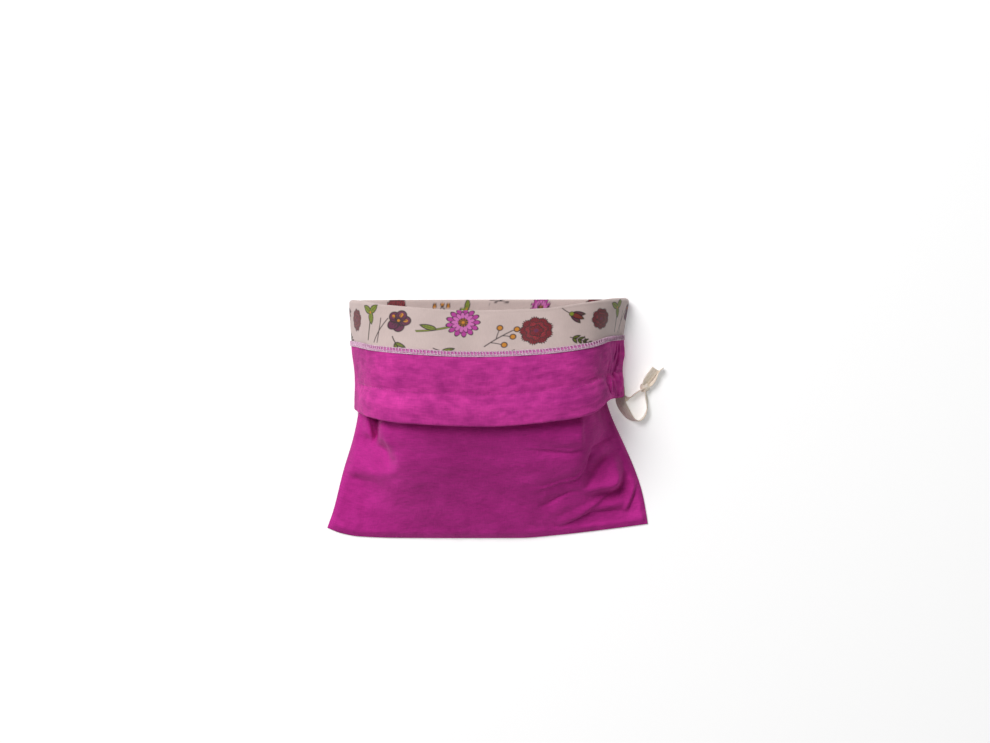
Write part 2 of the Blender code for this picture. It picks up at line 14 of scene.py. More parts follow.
import bpy
import numpy as np
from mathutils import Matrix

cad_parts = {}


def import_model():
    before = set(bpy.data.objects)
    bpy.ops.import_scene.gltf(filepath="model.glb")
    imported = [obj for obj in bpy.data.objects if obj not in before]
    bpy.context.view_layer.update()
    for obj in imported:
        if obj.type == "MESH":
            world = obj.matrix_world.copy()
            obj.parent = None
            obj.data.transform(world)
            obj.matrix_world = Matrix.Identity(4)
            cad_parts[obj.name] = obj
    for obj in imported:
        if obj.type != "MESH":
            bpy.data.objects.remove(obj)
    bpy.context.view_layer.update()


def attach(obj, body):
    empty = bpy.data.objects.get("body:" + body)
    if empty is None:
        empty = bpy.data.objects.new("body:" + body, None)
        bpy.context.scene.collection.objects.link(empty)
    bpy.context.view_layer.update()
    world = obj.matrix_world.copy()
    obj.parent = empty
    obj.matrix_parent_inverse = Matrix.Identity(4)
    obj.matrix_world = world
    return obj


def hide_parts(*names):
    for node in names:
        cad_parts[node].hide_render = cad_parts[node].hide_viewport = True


MM = 0.001  # metres in a millimetre

# The photograph's camera, straight above the bag
CAMERA_X = 7.5
CAMERA_Y = 46.5
CAMERA_HEIGHT = 1300.0
CAMERA_FOCAL_PIXELS = 1300.0
PHOTO_WIDTH = 990
SENSOR_WIDTH = 36.0

# Cloth, as thick as the real thing; the places of its layers are those of the solids
OUTER = 0.7
LINING = 0.4
CLEAR = 0.05  # the least gap between two cloths
SEAM_GAP = 0.74  # between the middles of the two outer panels where they are sewn together
LAYER = 1.5  # between them where the body lies flat
LINED = 1.6  # between the middles of an outer cloth and the lining on it
LINING_GAP = 1.2  # the same inside the front of the body
LINING_SLACK = 1.5  # how much further down the front's lining hangs, at most
LINING_SLACK_SHARE = 0.3  # and at most this share of the height free under it
FLOOR_LAYER = 0.6  # height of the middle of the lowest cloth
BACK_LAYER = 1.8  # between the layers of the cuff's back
CUFF_BACK_RISE = 2 * BACK_LAYER  # how far the body's back rises onto them
RISE_START_Y = -32.0
RISE_END_Y = -6.0
SEAM_ROLL = 3.3  # how high the front rises beside its seams
SEAM_ROLL_WIDTH = 6.5
SEAM_CLOSING = 3.0  # how far from the seam the panels come together
LINING_INSET = 7.2  # how far inside the seams the lining ends
LINING_INSET_AT_MOUTH = 3.0
INSET_REACH = 0.15  # the share across over which its columns are moved in
LINING_LEVEL = LINING / 2 + 0.1  # height of the middle of the lining under the cuff
FOLD_RADIUS = 1.8  # of the front at the mouth
BACK_FOLD_RADIUS = BACK_LAYER / 2
RIM_RADIUS = 2.2  # of the front at the cuff's rim
HEM_START = 0.38  # the share along the cuff where the hem begins
SEAM_SLIT = 0.004  # how far before it the lining ends
STITCH_LINE = 0.74  # where the casing's stitches run
CUFF_PARTS = (0.8, STITCH_LINE)  # where the cuff's front parts from its back, left and right
SIDE_OPENING = 0.12  # over which they do
FOLD_CORNER = 0.1  # the share along over which its sides leave the fold at the mouth
CUFF_BACK_MARGIN = 1.0  # how far its back runs on beyond the body at the rim
CURL_MARGIN = 0.5  # between the end of its flat back and where the sides curl up
FOLD_DEPTH_SHARE = 0.4  # of the free height under the front, the most that a fold sinks
FIRM_EDGE = 11.0  # how far from a seam the cloth is free to fold
FREE_UP_TO = 0.78  # the share along the body above which it lies smooth
SECTION_SAMPLES = 400
SECTION_LENGTH = 347.0  # about that of the front from side seam to side seam
PANEL_LENGTH = 222.0  # about that of the body, seen from above

# The flat cloth
CLOTH_WIDTH = 320.0
ENDS = np.array([0.0, 1.0])  # the side seams' shares across
BODY_LENGTH = 253.0  # of the front, from its bottom seam to its mouth
BACK_LENGTH = 239.0
CUFF_LENGTH = 107.0


def rows_of(kind, *rows):
    """The rows of a table, each as a record of one kind."""
    return tuple(kind(*row) for row in rows)


Section = namedtuple(
    "Section",
    "along left right left_shoulder right_shoulder left_height crown right_height foot_in foot_up",
)
SECTIONS = rows_of(
    Section,
    (0.000, -160.0, 160.0, -95, 97, 0, 0, 0, 25, 0.0),
    (0.070, -154.3, 157.5, -97, 99, 9, 15, 8, 26, 2.0),
    (0.150, -149.5, 153.8, -96, 100, 22, 30, 20, 24, 5.0),
    (0.260, -143.3, 145.5, -93, 100, 43, 50, 41, 18, 8.0),
    (0.365, -136.0, 135.3, -91, 98, 62, 67, 59, 12, 13.0),
    (0.470, -130.0, 124.5, -89, 93, 74, 81, 72, 8, 15.0),
    (0.600, -127.0, 116.5, -88, 89, 80, 90, 78, 6, 15.0),
    (0.800, -129.5, 122.5, -89, 91, 78, 91, 77, 6, 15.0),
    (1.000, -132.5, 136.0, -91, 94, 65, 78, 64, 6, 15.0),
)

# Outlines seen from above: y at shares across
BOTTOM_SEAM = {
    0.0: -109.5, 0.04: -114.5, 0.1: -118.0, 0.22: -119.4, 0.42: -119.6,
    0.6: -119.5, 0.72: -116.5, 0.9: -109.8, 1.0: -105.5,
}
FRONT_MOUTH = {
    0.0: 114.3, 0.11: 111.2, 0.22: 105.8, 0.45: 100.0,
    0.64: 101.8, 0.77: 108.2, 0.88: 113.4, 1.0: 116.0,
}
BACK_MOUTH = {0.0: 114.3, 0.04: 115.2, 0.5: 115.8, 1.0: 116.0}
CUFF_RIM = {
    0.0: 10.6, 0.1: 8.5, 0.2: 6.0, 0.3: 2.0, 0.5: -0.6, 0.7: 5.0,
    0.76: 9.6, 0.8: 16.0, 0.84: 20.4, 0.9: 22.2, 1.0: 23.0,
}

# How far the cuff stands off the body, and the hem off the cuff: at shares along, one for each place across
STANDOFF_ACROSS = (0.0, 0.22, 0.5, 0.78, 1.0)
CUFF_STANDOFF = {
    0.00: (3.6, 3.6, 3.6, 3.6, 3.6),
    0.38: (4.0, 6.0, 6.0, 7.0, 9.5),
    0.74: (2.4, 7.0, 7.0, 8.5, 14.5),
    1.00: (2.2, 6.0, 8.0, 8.0, 15.5),
}
HEM_STANDOFF = {
    0.38: (1.7, 1.7, 1.7, 1.7, 1.7),
    0.74: (1.9, 1.9, 1.9, 1.9, 2.6),
    0.86: (2.6, 5.0, 5.2, 4.6, 4.4),
    1.00: (2.4, 4.4, 4.6, 4.2, 4.2),
}

# Folds pressed into the front of the body: a line seen from above, how far its trough sinks and the
# ridge beside it stands. The ridge is to the left of a line as one walks along it.
Fold = namedtuple("Fold", "line trough ridge width")
FOLDS = rows_of(
    Fold,
    (((-118, 14), (-117, -6), (-111, -24)), 3.0, 2.0, 9),
    (((42, -23), (69, -28), (92, -25)), 1.8, 1.2, 6),
    (((121, -14), (106, -26), (102, -41), (92, -57), (79, -63), (58, -68)), 3.2, 1.8, 6.5),
    (((96, -73), (77, -76), (62, -84), (52, -91)), 2.0, 1.2, 6),
    (((137, -53), (132, -66), (112, -78), (92, -91)), 3.4, 2.0, 7),
    (((147, -62), (145, -80), (136, -94)), 2.4, 1.4, 6),
    (((136, -94), (100, -96), (66, -111)), 3.2, 2.0, 9),
)
FOLD_SAMPLES = 49  # along each line
RIDGE_AWAY = 1.6  # from the trough, in the fold's widths
FOLD_END = 0.02  # what is left of a fold where its line ends
NUDGE = 0.003  # the share over which a surface's slope is measured

BODY_SLACK = 4.5  # how far the body's lower half sinks
SLACK_ALONG = 0.21  # the share along at which it sinks most
SLACK_REACH = 0.16
SLACK_SIDES = 0.3  # the share across over which the sinking grows from each side
PUCKERS_IN = 5.0  # how far from a seam its puckers are deepest
PUCKERS_REACH = math.sqrt(60)

# Finer creases: a line seen from above, how far the cloth stands up along it (below 0 where it sinks)
# and over what width, how far the cloth to its left stands above that to its right, and how far out.
Crease = namedtuple("Crease", "line height width step reach", defaults=(0, 1))
BODY_CREASES = rows_of(
    Crease,
    (((-97, 0), (-94, -13), (-91, -29), (-90, -38)), 1.8, 3.5, -1.6, 12),
    (((-94, -1), (-86, -6), (-76, -8)), -1.4, 3.0),
    (((-88, -38), (-92, -46), (-100, -53), (-112, -60), (-124, -66)), 0.8, 6.0, -1.2, 12),  # the left lobe
    (((-126, -68), (-128, -84), (-129, -100), (-130, -112)), 1.3, 3.6, -0.8, 10),
    (((-151, -71), (-143, -72), (-134, -77)), -1.6, 2.2),
    (((88, 4), (88, -14), (91, -27)), 2.0, 3.2, -3.0, 12),  # under the cuff's right end
    (((34, -25), (52, -26.5), (66, -28.5), (81, -29), (94, -25)), 1.1, 1.3, 1.8, 8),
    (((120, -17), (109, -25), (104, -33), (102, -45), (98, -56), (92, -66)), -2.0, 5.0),
    (((124, -16), (114, -22), (107, -25), (103, -29)), -1.2, 1.5),
    (((104, -30), (103, -37), (101, -47), (98, -56)), -1.4, 1.5),
    (((105, -28), (100, -38), (95, -49), (91, -57), (83, -61), (71, -64), (57, -68), (44, -71)), 1.8, 1.6),
    (((101, -66), (112, -64), (124, -63), (136, -61)), 1.5, 6.0, 2.0, 12),  # the bright facet's lower edge
    (((95, -73), (83, -74), (74, -78), (67, -82), (61, -86), (50, -88)), -1.4, 1.3, 1.3, 8),
    (((134, -66), (124, -73), (114, -79), (104, -85), (94, -91)), 2.0, 2.2, -4.5, 13),
    (((138, -48), (137, -62), (134, -75), (127, -79)), 0.9, 1.2),
    (((142, -56), (140, -68), (137, -78)), 0.6, 1.1),
    (((149, -60), (147, -72), (144, -84), (141, -95)), -0.8, 2.0, -5.0, 10),
    (((147, -62), (143, -73), (140, -83), (136, -91)), 2.6, 3.0),
    (((141, -95), (124, -93), (108, -94), (96, -98), (84, -104), (66, -112)), -0.6, 2.6, -5.0, 13),
    (((141, -84), (124, -84), (108, -86), (96, -91), (84, -98), (68, -107)), 4.2, 5.0),
    (((-20, -3), (10, -8), (40, -7), (66, -3)), 0.5, 3.0),
)
# Facets: parts of the body, seen from above, whose cloth is drawn nearly flat. The cloth follows a plane
# by a share, and the facet's edges are soft. The plane is given by one of its places and its rise both ways.
Facet = namedtuple("Facet", "corners place rise share soft")
BODY_FACETS = rows_of(
    Facet,
    (
        ((-134, -18), (-112, -16), (-92, -27), (-89, -46), (-108, -57), (-142, -54)),
        (-116, -42, 29), (0.8, -0.27), 0.9, 6.5,
    ),
    (
        ((-125, 16), (-121, -6), (-113, -24), (-105, -19), (-100, 16)),
        (-111, -6, 21), (-0.95, -0.1), 0.9, 5,
    ),
    (
        ((109, -36), (100, -55), (91, -71), (128, -70), (134, -58), (127, -36)),
        (108, -58, 31), (-0.02, -0.34), 0.92, 5.5,
    ),
)
HEM_CREASES = rows_of(
    Crease,
    (((-131, 35), (-109, 32), (-80, 31), (-59, 30)), -0.75, 1.7),  # the casing's stitch line
    (((-59, 30), (-25, 27), (12, 26), (47, 29)), -0.4, 1.7),
    (((45, 29), (66, 32), (84, 35), (95, 36), (106, 41), (120, 44), (133, 46)), -2.1, 1.9, -1.6, 7),
    (((127.5, 78), (127, 67), (125.5, 61), (122.5, 52)), -2.0, 0.9, 1.6, 3),  # gathers on the right flank
    (((131.5, 79), (131.5, 67), (129, 60), (125.5, 52), (122, 42)), -4.6, 1.7, 2.6, 5),
    (((134, 74), (133.5, 62), (132, 50), (131.5, 36)), 1.6, 1.4),
    (((129.5, 78), (129.3, 66), (127, 56)), 1.4, 0.8),
    (((121, 47), (124, 39), (125, 32), (126, 20)), -3.0, 1.0, 1.4, 3),
    (((123, 46), (127.5, 36), (129, 26)), 1.6, 1.0),
    (((119, 56), (116.5, 44), (115, 37), (116, 25)), -4.4, 1.6, 2.4, 5),
    (((121.5, 44), (120, 35), (118, 20)), -3.0, 1.0, 1.2, 3),
    (((123.5, 32), (122.5, 20)), -2.0, 0.8),
    (((94, 50), (101, 43), (108, 36), (112, 28)), 1.2, 3.4),
    (((109, 66), (110, 56), (112, 45)), -1.1, 2.8),
    (((119, 72), (119, 60), (118, 52)), -0.7, 1.2),
    (((-124, 60), (-126, 48), (-127, 38)), -0.8, 1.6),
    (((-118, 22), (-100, 17), (-86, 18)), 0.5, 3.0),
)
# Gathers on the hem's right flank, which stand straight up
HEM_GATHERS = rows_of(
    Crease,
    (((126.5, 77), (126, 64), (122, 54)), 2.8, 0.9),
    (((130, 76), (129.3, 60), (124.4, 46)), 3.2, 1.0),
    (((116.5, 72), (118.5, 57), (115.4, 45)), 2.2, 1.2),
    (((122.5, 46), (125.5, 33), (122.5, 19)), 3.2, 1.1),
    (((130.5, 44), (131.5, 34), (131.5, 22)), 2.6, 1.0),
    (((120, 44), (118.7, 33), (119.5, 20)), 2.8, 1.0),
)

CASING_PUFF = 2.6  # how far the casing stands up
PUFF_REACH = 0.2
PUFF_SIDES = 30.0, 20.0  # how far from the left and the right side seam it stands up fully
PUCKER_REACH = 6.0  # how far from the casing's stitches the cloth is puckered
SLACK_EASE = 0.06  # the share along over which the slack of the cuff's cloths grows from their edges
SLACK_END = 1.03  # the share along, past the rim, where the hem's has gone again
CREASES_EASE = 0.05

# Pleats beside the right end of the casing, between two shares across, which the creases there break up
GATHER_FROM = 0.855
GATHER_TO = 0.985
GATHER_PLEATS = 4
GATHER_DEPTH = 0.4
GATHERS_START = 0.2  # the share along from which they deepen
GATHERS_GROW = 0.3

# How finely the sheets are divided
FRONT_COLUMNS = 216
BODY_ROWS = 118  # up to where the cuff hides the body
HIDDEN_FROM = 0.56
HIDDEN_ROWS = 18
TURN_ROWS = 8
INNER_ROWS = 14
HEM_ROWS = 56
BACK_COLUMNS = 120
BACK_BODY_ROWS = 70
BACK_CUFF_ROWS = 40
BAND_COLUMNS = 640  # the lining where its print shows
BAND_ROWS = 80
INSIDE_COLUMNS = 400
INSIDE_ROWS = 96
CROWDING = 0.06  # how much closer together the columns are at the side seams


def smooth(share):
    """0 up to 1 with a soft start and end, for a share from 0 to 1."""
    share = np.clip(share, 0, 1)
    return share * share * (3 - 2 * share)


def curve_through(knots, values, slopes):
    """Cubic stretches through values, one for each knot, as a function."""

    def at(where):
        where = np.clip(where, knots[0], knots[-1])
        i = np.clip(np.searchsorted(knots, where, side="right") - 1, 0, len(knots) - 2)
        step = knots[i + 1] - knots[i]
        share = (where - knots[i]) / step
        # One value for each column: a table of columns is read at each column's own place.
        start, end = i, i + 1
        if values.ndim == 3:
            column = np.arange(values.shape[1])
            start, end = (i, column), (i + 1, column)
        if values.ndim > 1:
            share, step = np.asarray(share)[..., None], np.asarray(step)[..., None]
        level = smooth(share)
        leaving = share * (1 - share) ** 2 * step * slopes[start]
        arriving = share**2 * (1 - share) * step * slopes[end]
        return values[start] * (1 - level) + values[end] * level + leaving - arriving

    return at


def spline(knots, values):
    """The smoothest curve through values."""
    knots, values = np.array(knots, float), np.array(values, float)
    count = len(knots)
    step = np.diff(knots)
    rise = np.diff(values, axis=0) / step.reshape(-1, *[1] * (values.ndim - 1))
    system = 2 * np.eye(count)
    system[0, 1] = system[-1, -2] = 1
    change = np.zeros_like(values)
    change[0], change[-1] = 3 * rise[0], 3 * rise[-1]
    for i in range(1, count - 1):
        system[i, i - 1 : i + 2] = step[i], 2 * (step[i - 1] + step[i]), step[i - 1]
        change[i] = 3 * (step[i] * rise[i - 1] + step[i - 1] * rise[i])
    slopes = np.linalg.solve(system, change.reshape(count, -1)).reshape(values.shape)
    return curve_through(knots, values, slopes)


def steady(knots, values):
    """A curve through values that never swings past them."""
    knots, values = np.array(knots, float), np.array(values, float)
    rise = np.diff(values, axis=0) / np.diff(knots).reshape(-1, *[1] * (values.ndim - 1))
    slopes = np.concatenate([rise[:1], np.zeros_like(rise[1:]), rise[-1:]])
    same_way = rise[:-1] * rise[1:] > 0
    slopes[1:-1][same_way] = 2 / (1 / rise[:-1][same_way] + 1 / rise[1:][same_way])
    return curve_through(knots, values, slopes)


def unit(vectors):
    """The same vectors with a length of 1."""
    return vectors / np.linalg.norm(vectors, axis=-1, keepdims=True)


def travelled(points):
    """How far along the line through points each of them is."""
    return np.concatenate([[0], np.cumsum(np.linalg.norm(np.diff(points, axis=0), axis=1))])


def outline(points):
    return steady(list(points), list(points.values()))


bottom_seam = outline(BOTTOM_SEAM)
front_mouth = outline(FRONT_MOUTH)
back_mouth = outline(BACK_MOUTH)
cuff_rim = outline(CUFF_RIM)


def standoff(rows):
    """A table of standoffs as a function of the shares across and along."""
    across_rows = steady(STANDOFF_ACROSS, np.transpose(list(rows.values())))

    def at(across, along):
        return steady(list(rows), across_rows(across).T[:, :, None])(along)[:, 0]

    return at


cuff_standoff = standoff(CUFF_STANDOFF)
hem_standoff = standoff(HEM_STANDOFF)


# Uneven cloth


LATTICE = 128
LATTICE_START = 57.3, 31.7

# How far the cloth moves, how long its hills are across and along, and their seed
BODY_UNEVEN = (0.5, 26, 20, 1), (0.22, 9, 7, 2)
SIDE_PUCKERS = 0.55, 10, 6.5, 3
BOTTOM_PUCKERS = 0.5, 7.5, 10, 4
HEM_UNEVEN = (0.5, 30, 16, 11), (0.2, 8, 6, 12)
CASING_PUCKERS = 0.35, 5.5, 10, 13
CASING_UNEVEN = 0.3, 34, 20, 14  # as a share of its puff
LINING_UNEVEN = (0.35, 28, 18, 21), (0.12, 8, 7, 22)


@functools.lru_cache(maxsize=None)
def lattice(seed):
    return np.random.default_rng(seed).uniform(-1, 1, (LATTICE, LATTICE))


def unevenness(s, t, size_s, size_t, seed):
    """Smooth random hills between -1 and 1, of these sizes on the flat cloth."""
    values = lattice(seed)
    s, t = np.asarray(s) / size_s + LATTICE_START[0], np.asarray(t) / size_t + LATTICE_START[1]
    column, row = np.floor(s).astype(int), np.floor(t).astype(int)
    across, up = smooth(s - column), smooth(t - row)

    def at(row):
        left, right = (values[row % LATTICE, which % LATTICE] for which in (column, column + 1))
        return left * (1 - across) + right * across

    return at(row) * (1 - up) + at(row + 1) * up


def uneven(s, t, *layers):
    """How far layers of unevenness move the cloth. Puckers pass 0 for the way that they run."""
    return sum(amount * unevenness(s, t, *hills) for amount, *hills in layers)


# Surfaces


def section_curve(section, across):
    """x and height along one section, at shares of its length."""
    points = np.array(
        [
            (section.left, 0),
            (section.left + section.foot_in, section.foot_up),
            (section.left_shoulder, section.left_height),
            ((section.left_shoulder + section.right_shoulder) / 2, section.crown),
            (section.right_shoulder, section.right_height),
            (section.right - section.foot_in, section.foot_up),
            (section.right, 0),
        ]
    )
    knots = travelled(points)
    curve = spline(knots, points)
    fine = np.linspace(0, knots[-1], SECTION_SAMPLES)
    lengths = travelled(curve(fine))
    return curve(np.interp(np.array(across) * lengths[-1], lengths, fine))


@functools.lru_cache(maxsize=None)
def loft(across):
    """The sections read at these shares across, as a smooth function of each column's share along."""
    return spline([s.along for s in SECTIONS], [section_curve(s, across) for s in SECTIONS])


def back_level(y):
    """Height of the middle of the body's back layer."""
    rise = smooth((y - RISE_START_Y) / (RISE_END_Y - RISE_START_Y))
    return FLOOR_LAYER + CUFF_BACK_RISE * rise


def y_between(across, along, start, end):
    """y at a share of the way between two outlines."""
    return start(across) + (end(across) - start(across)) * along


def edge_distance(across, along):
    """Roughly how far a place on the front of the body is from its side seams, and from its bottom seam."""
    to_side = np.minimum(across, 1 - across) * SECTION_LENGTH
    to_bottom = along * (front_mouth(across) - bottom_seam(across))
    return to_side, to_bottom


def from_seams(across, along, width):
    """0 at the body's seams and 1 where they are further away than this width."""
    to_side, to_bottom = edge_distance(across, along)
    return smooth(to_side / width) * smooth(to_bottom / width)


def body_form(across, along):
    """The middle of the outer front panel on the body, without its folds."""
    along = np.broadcast_to(along, across.shape)
    x, height = loft(tuple(across))(along).T
    y = y_between(across, along, bottom_seam, front_mouth)
    roll = SEAM_ROLL * from_seams(across, along, SEAM_ROLL_WIDTH)
    to_seam = np.minimum(*edge_distance(across, along))
    closing = (LAYER - SEAM_GAP) * (1 - smooth(to_seam / SEAM_CLOSING))
    return np.stack([x, y, back_level(y) + LAYER - closing + height + roll], axis=1)


def normals(surface, across, along, side=1):
    """Unit normals of a surface, out of the bag. side is -1 where along runs down the cuff."""
    along = np.broadcast_to(along, across.shape)
    over = surface(np.clip(across + NUDGE, 0, 1), along) - surface(np.clip(across - NUDGE, 0, 1), along)
    up = surface(across, np.clip(along + NUDGE, 0, 1)) - surface(across, np.clip(along - NUDGE, 0, 1))
    return unit(side * np.cross(over, up))


@functools.lru_cache(maxsize=None)
def fold_line(line):
    """A fold's line as points on a smooth curve, and the way it runs at each."""
    curve = spline(np.linspace(0, 1, len(line)), line)(np.linspace(0, 1, FOLD_SAMPLES))
    return curve, unit(np.gradient(curve, axis=0))


def hump(distance, width):
    """1 at no distance, fading to nothing over about two widths."""
    return np.exp(-((distance / width) ** 2))


def by_line(points, line, width):
    """How far points lie to the left of a line, 0 at its ends up to 1 midway, and a fade past its ends."""
    curve, run = fold_line(line)
    away = points[:, None, :2] - curve[None]
    nearest = np.linalg.norm(away, axis=2).argmin(axis=1)
    chosen = away[np.arange(len(points)), nearest]
    heading = run[nearest]
    beside = heading[:, 0] * chosen[:, 1] - heading[:, 1] * chosen[:, 0]
    beyond = np.abs(heading[:, 0] * chosen[:, 0] + heading[:, 1] * chosen[:, 1])
    share = nearest / (FOLD_SAMPLES - 1)
    return beside, 4 * share * (1 - share), hump(beyond, width)


def fold_offset(points):
    """How far the folds move points of the body along its normal."""
    total = np.zeros(len(points))
    for line, trough, ridge, width in FOLDS:
        beside, inner, fade = by_line(points, line, width)
        across = ridge * hump(beside - RIDGE_AWAY * width, width) - trough * hump(beside, width)
        total += np.sqrt(inner + FOLD_END) * fade * across
    return total


def crease_offset(points, creases):
    """How far creases move points along their normal."""
    total = np.zeros(len(points))
    for line, height, width, step, reach in creases:
        beside, inner, fade = by_line(points, line, width)
        stepped = step / 2 * np.tanh(beside / width) * hump(beside, reach)
        total += inner**0.6 * fade * (height * hump(beside, width) + stepped)
    return total


def inner_room(points):
    """How much of the height over points of the body's front is free, beside the cloth itself."""
    return np.clip(points[:, 2] - back_level(points[:, 1]) - 2 * LINED - 2 * LINING, 0, None)


def near_mouth(along):
    """0 up to where the body's cloth lies smooth, and 1 at its mouth."""
    return smooth((along - FREE_UP_TO) / (1 - FREE_UP_TO))


def free_share(across, along):
    """0 at the body's seams and near its mouth, and 1 where its cloth is free to fold."""
    return from_seams(across, along, FIRM_EDGE) * (1 - near_mouth(along))


def body_wrinkles(across, along):
    """The small unevenness of the body's cloth: slack all over it, and puckers along the seams."""
    s, t = across * CLOTH_WIDTH, along * BODY_LENGTH
    to_side, to_bottom = edge_distance(across, along)
    side_puckers = uneven(0 * s, t, SIDE_PUCKERS) * hump(to_side - PUCKERS_IN, PUCKERS_REACH)
    bottom_puckers = uneven(s, 0 * s, BOTTOM_PUCKERS) * hump(to_bottom - PUCKERS_IN, PUCKERS_REACH)
    wrinkles = uneven(s, t, *BODY_UNEVEN) * free_share(across, along) + side_puckers + bottom_puckers
    return wrinkles * from_seams(across, along, SEAM_CLOSING)


def body_offset(across, along, points):
    """How far the folds, creases and wrinkles move points of the body's front out."""
    sides = smooth(across / SLACK_SIDES) * smooth((1 - across) / SLACK_SIDES)
    sunk = BODY_SLACK * sides * hump(along - SLACK_ALONG, SLACK_REACH)
    offset = (fold_offset(points) + crease_offset(points, BODY_CREASES) - sunk) * free_share(across, along)
    return np.maximum(offset, -inner_room(points) * FOLD_DEPTH_SHARE) + body_wrinkles(across, along)


def facet_lift(points):
    """How far the facets lift points of the body's front."""
    height = points[:, 2].copy()
    for facet in BODY_FACETS:
        corners = np.array(facet.corners, float)
        edges = np.roll(corners, -1, axis=0) - corners
        inward = np.stack([-edges[:, 1], edges[:, 0]], axis=1)
        inward *= np.sign(inward[0] @ (corners.mean(axis=0) - corners[0]))
        away = np.einsum("pek,ek->pe", points[:, None, :2] - corners[None], unit(inward))
        within = np.prod(smooth(0.5 + away / (2 * facet.soft)), axis=1)
        level = facet.place[2] + (points[:, :2] - facet.place[:2]) @ facet.rise
        height += facet.share * within * (level - height)
    return height - points[:, 2]


def body(across, along):
    """The middle of the outer front panel on the body."""
    points = body_form(across, along)
    lift = facet_lift(points) * free_share(across, along)
    points = points + normals(body_form, across, along) * body_offset(across, along, points)[:, None]
    points[:, 2] += lift
    return points


def gathers(across, along):
    """Pleats on the cuff's right flank, which deepen down to the casing."""
    share = (across - GATHER_FROM) / (GATHER_TO - GATHER_FROM)
    inside = (share > 0) & (share < 1)
    wave = 0.5 - 0.5 * np.cos(2 * math.pi * GATHER_PLEATS * share)
    return -GATHER_DEPTH * inside * wave * smooth((along - GATHERS_START) / GATHERS_GROW)


def body_share(across, y):
    """The share along the body at which it reaches a height y."""
    return (y - bottom_seam(across)) / (front_mouth(across) - bottom_seam(across))


def cuff(across, along):
    """The middle of the front cuff's inner layer."""
    y = y_between(across, along, front_mouth, cuff_rim)
    below = body_share(across, y)
    offset = cuff_standoff(across, along) + gathers(across, along)
    points = body_form(across, below) + normals(body_form, across, below) * offset[:, None]
    points[:, 1] = y
    return points


def band(across, along, offset):
    """The cuff's inner layer moved out by an offset."""
    return cuff(across, along) + normals(cuff, across, along, -1) * np.reshape(offset, (-1, 1))


def hem(across, along, lift=0.0):
    """The middle of the hem, which shows on the front of the cuff."""
    stand = hem_standoff(across, along)
    plain = band(across, along, stand)
    creased = smooth((along - HEM_START) / CREASES_EASE)
    offset = hem_slack(across, along) + crease_offset(plain, HEM_CREASES) * creased
    points = band(across, along, np.maximum(stand + offset, OUTER + CLEAR) + lift)
    points[:, 2] += crease_offset(points, HEM_GATHERS) * creased
    return points


def hem_slack(across, along):
    """The hem's unevenness: slack cloth, the casing's puff and puckers along its stitch line."""
    s, t = across * CLOTH_WIDTH, along * CUFF_LENGTH
    inside = smooth((along - HEM_START) / SLACK_EASE) * smooth((SLACK_END - along) / SLACK_EASE)
    sides = smooth(s / PUFF_SIDES[0]) * smooth((CLOTH_WIDTH - s) / PUFF_SIDES[1])
    fuller = 1 + uneven(s, t, CASING_UNEVEN)
    puff = CASING_PUFF * sides * fuller * smooth((along - STITCH_LINE) / PUFF_REACH)
    near_line = hump((along - STITCH_LINE) * CUFF_LENGTH, PUCKER_REACH)
    return uneven(s, t, *HEM_UNEVEN) * inside + puff + uneven(s, 0 * s, CASING_PUCKERS) * near_line


def turn(start, end, reach, rows=TURN_ROWS):
    """Rows of points round a half turn from one row to another, which reaches so far past them along Y."""
    middle, half = (start + end) / 2, (start - end) / 2
    found = []
    for step in range(1, rows):
        angle = math.pi * step / rows
        row = middle + half * math.cos(angle)
        row[:, 1] += reach * math.sin(angle)
        found.append(row)
    return found


def back_body(across, along):
    """The middle of the outer back panel on the body, which ends at the sides where the front does."""
    left, right = body_form(ENDS, along)
    y = y_between(across, along, bottom_seam, back_mouth)
    return np.stack([left[0] + (right[0] - left[0]) * across, y, back_level(y)], axis=1)


def body_sides(left_y, right_y):
    """x of the body's left side seam at one height y, and of its right one at another."""
    below_mouth = np.clip((left_y, right_y), None, front_mouth(ENDS))
    left, right = body_form(ENDS, body_share(ENDS, below_mouth))
    return left[0], right[0]


def cuff_back_ends(surface, along):
    """At each side of the cuff's back: its edge, where its flat middle ends, and how far it curls up."""
    found = []
    body_ends = body_sides(*y_between(ENDS, along, back_mouth, cuff_rim))
    front_ends = surface(ENDS, along)
    from_fold = smooth(along / FOLD_CORNER)
    for body_end, front_end, parting, out in zip(body_ends, front_ends, CUFF_PARTS, (-1, 1)):
        parted = parting + SIDE_OPENING
        curled = smooth((parted - along) / SIDE_OPENING) * smooth(along / FOLD_CORNER - 1)
        narrow = smooth((1 - along) / (1 - parted))
        flat = front_end[0] + (body_end + out * CUFF_BACK_MARGIN - front_end[0]) * narrow
        edge, flat = (body_end + (x - body_end) * from_fold for x in (front_end[0], flat))
        found.append((edge, flat, curled * (front_end[2] - SEAM_GAP)))
    return found


def back_inner(across, along):
    """The middle of the inner layer of the cuff's back, which is flat."""
    (_, left, _), (_, right, _) = cuff_back_ends(hem, along)
    y = y_between(across, along, back_mouth, cuff_rim)
    return np.stack([left + (right - left) * across, y, np.full_like(y, FLOOR_LAYER + BACK_LAYER)], axis=1)


def back_shown(surface, across, along, level):
    """A layer on the floor side of the cuff, its sides curled up to where a surface of the front ends."""
    left, right = cuff_back_ends(surface, along)
    x = left[0] + (right[0] - left[0]) * across
    z = np.full_like(x, level)
    for edge, flat, top in (left, right):
        width = max(abs(edge - flat) - CURL_MARGIN, LINING)
        z += np.maximum(top - level, 0) * np.clip(1 - np.abs(x - edge) / width, 0, 1) ** 2
    return np.stack([x, y_between(across, along, back_mouth, cuff_rim), z], axis=1)


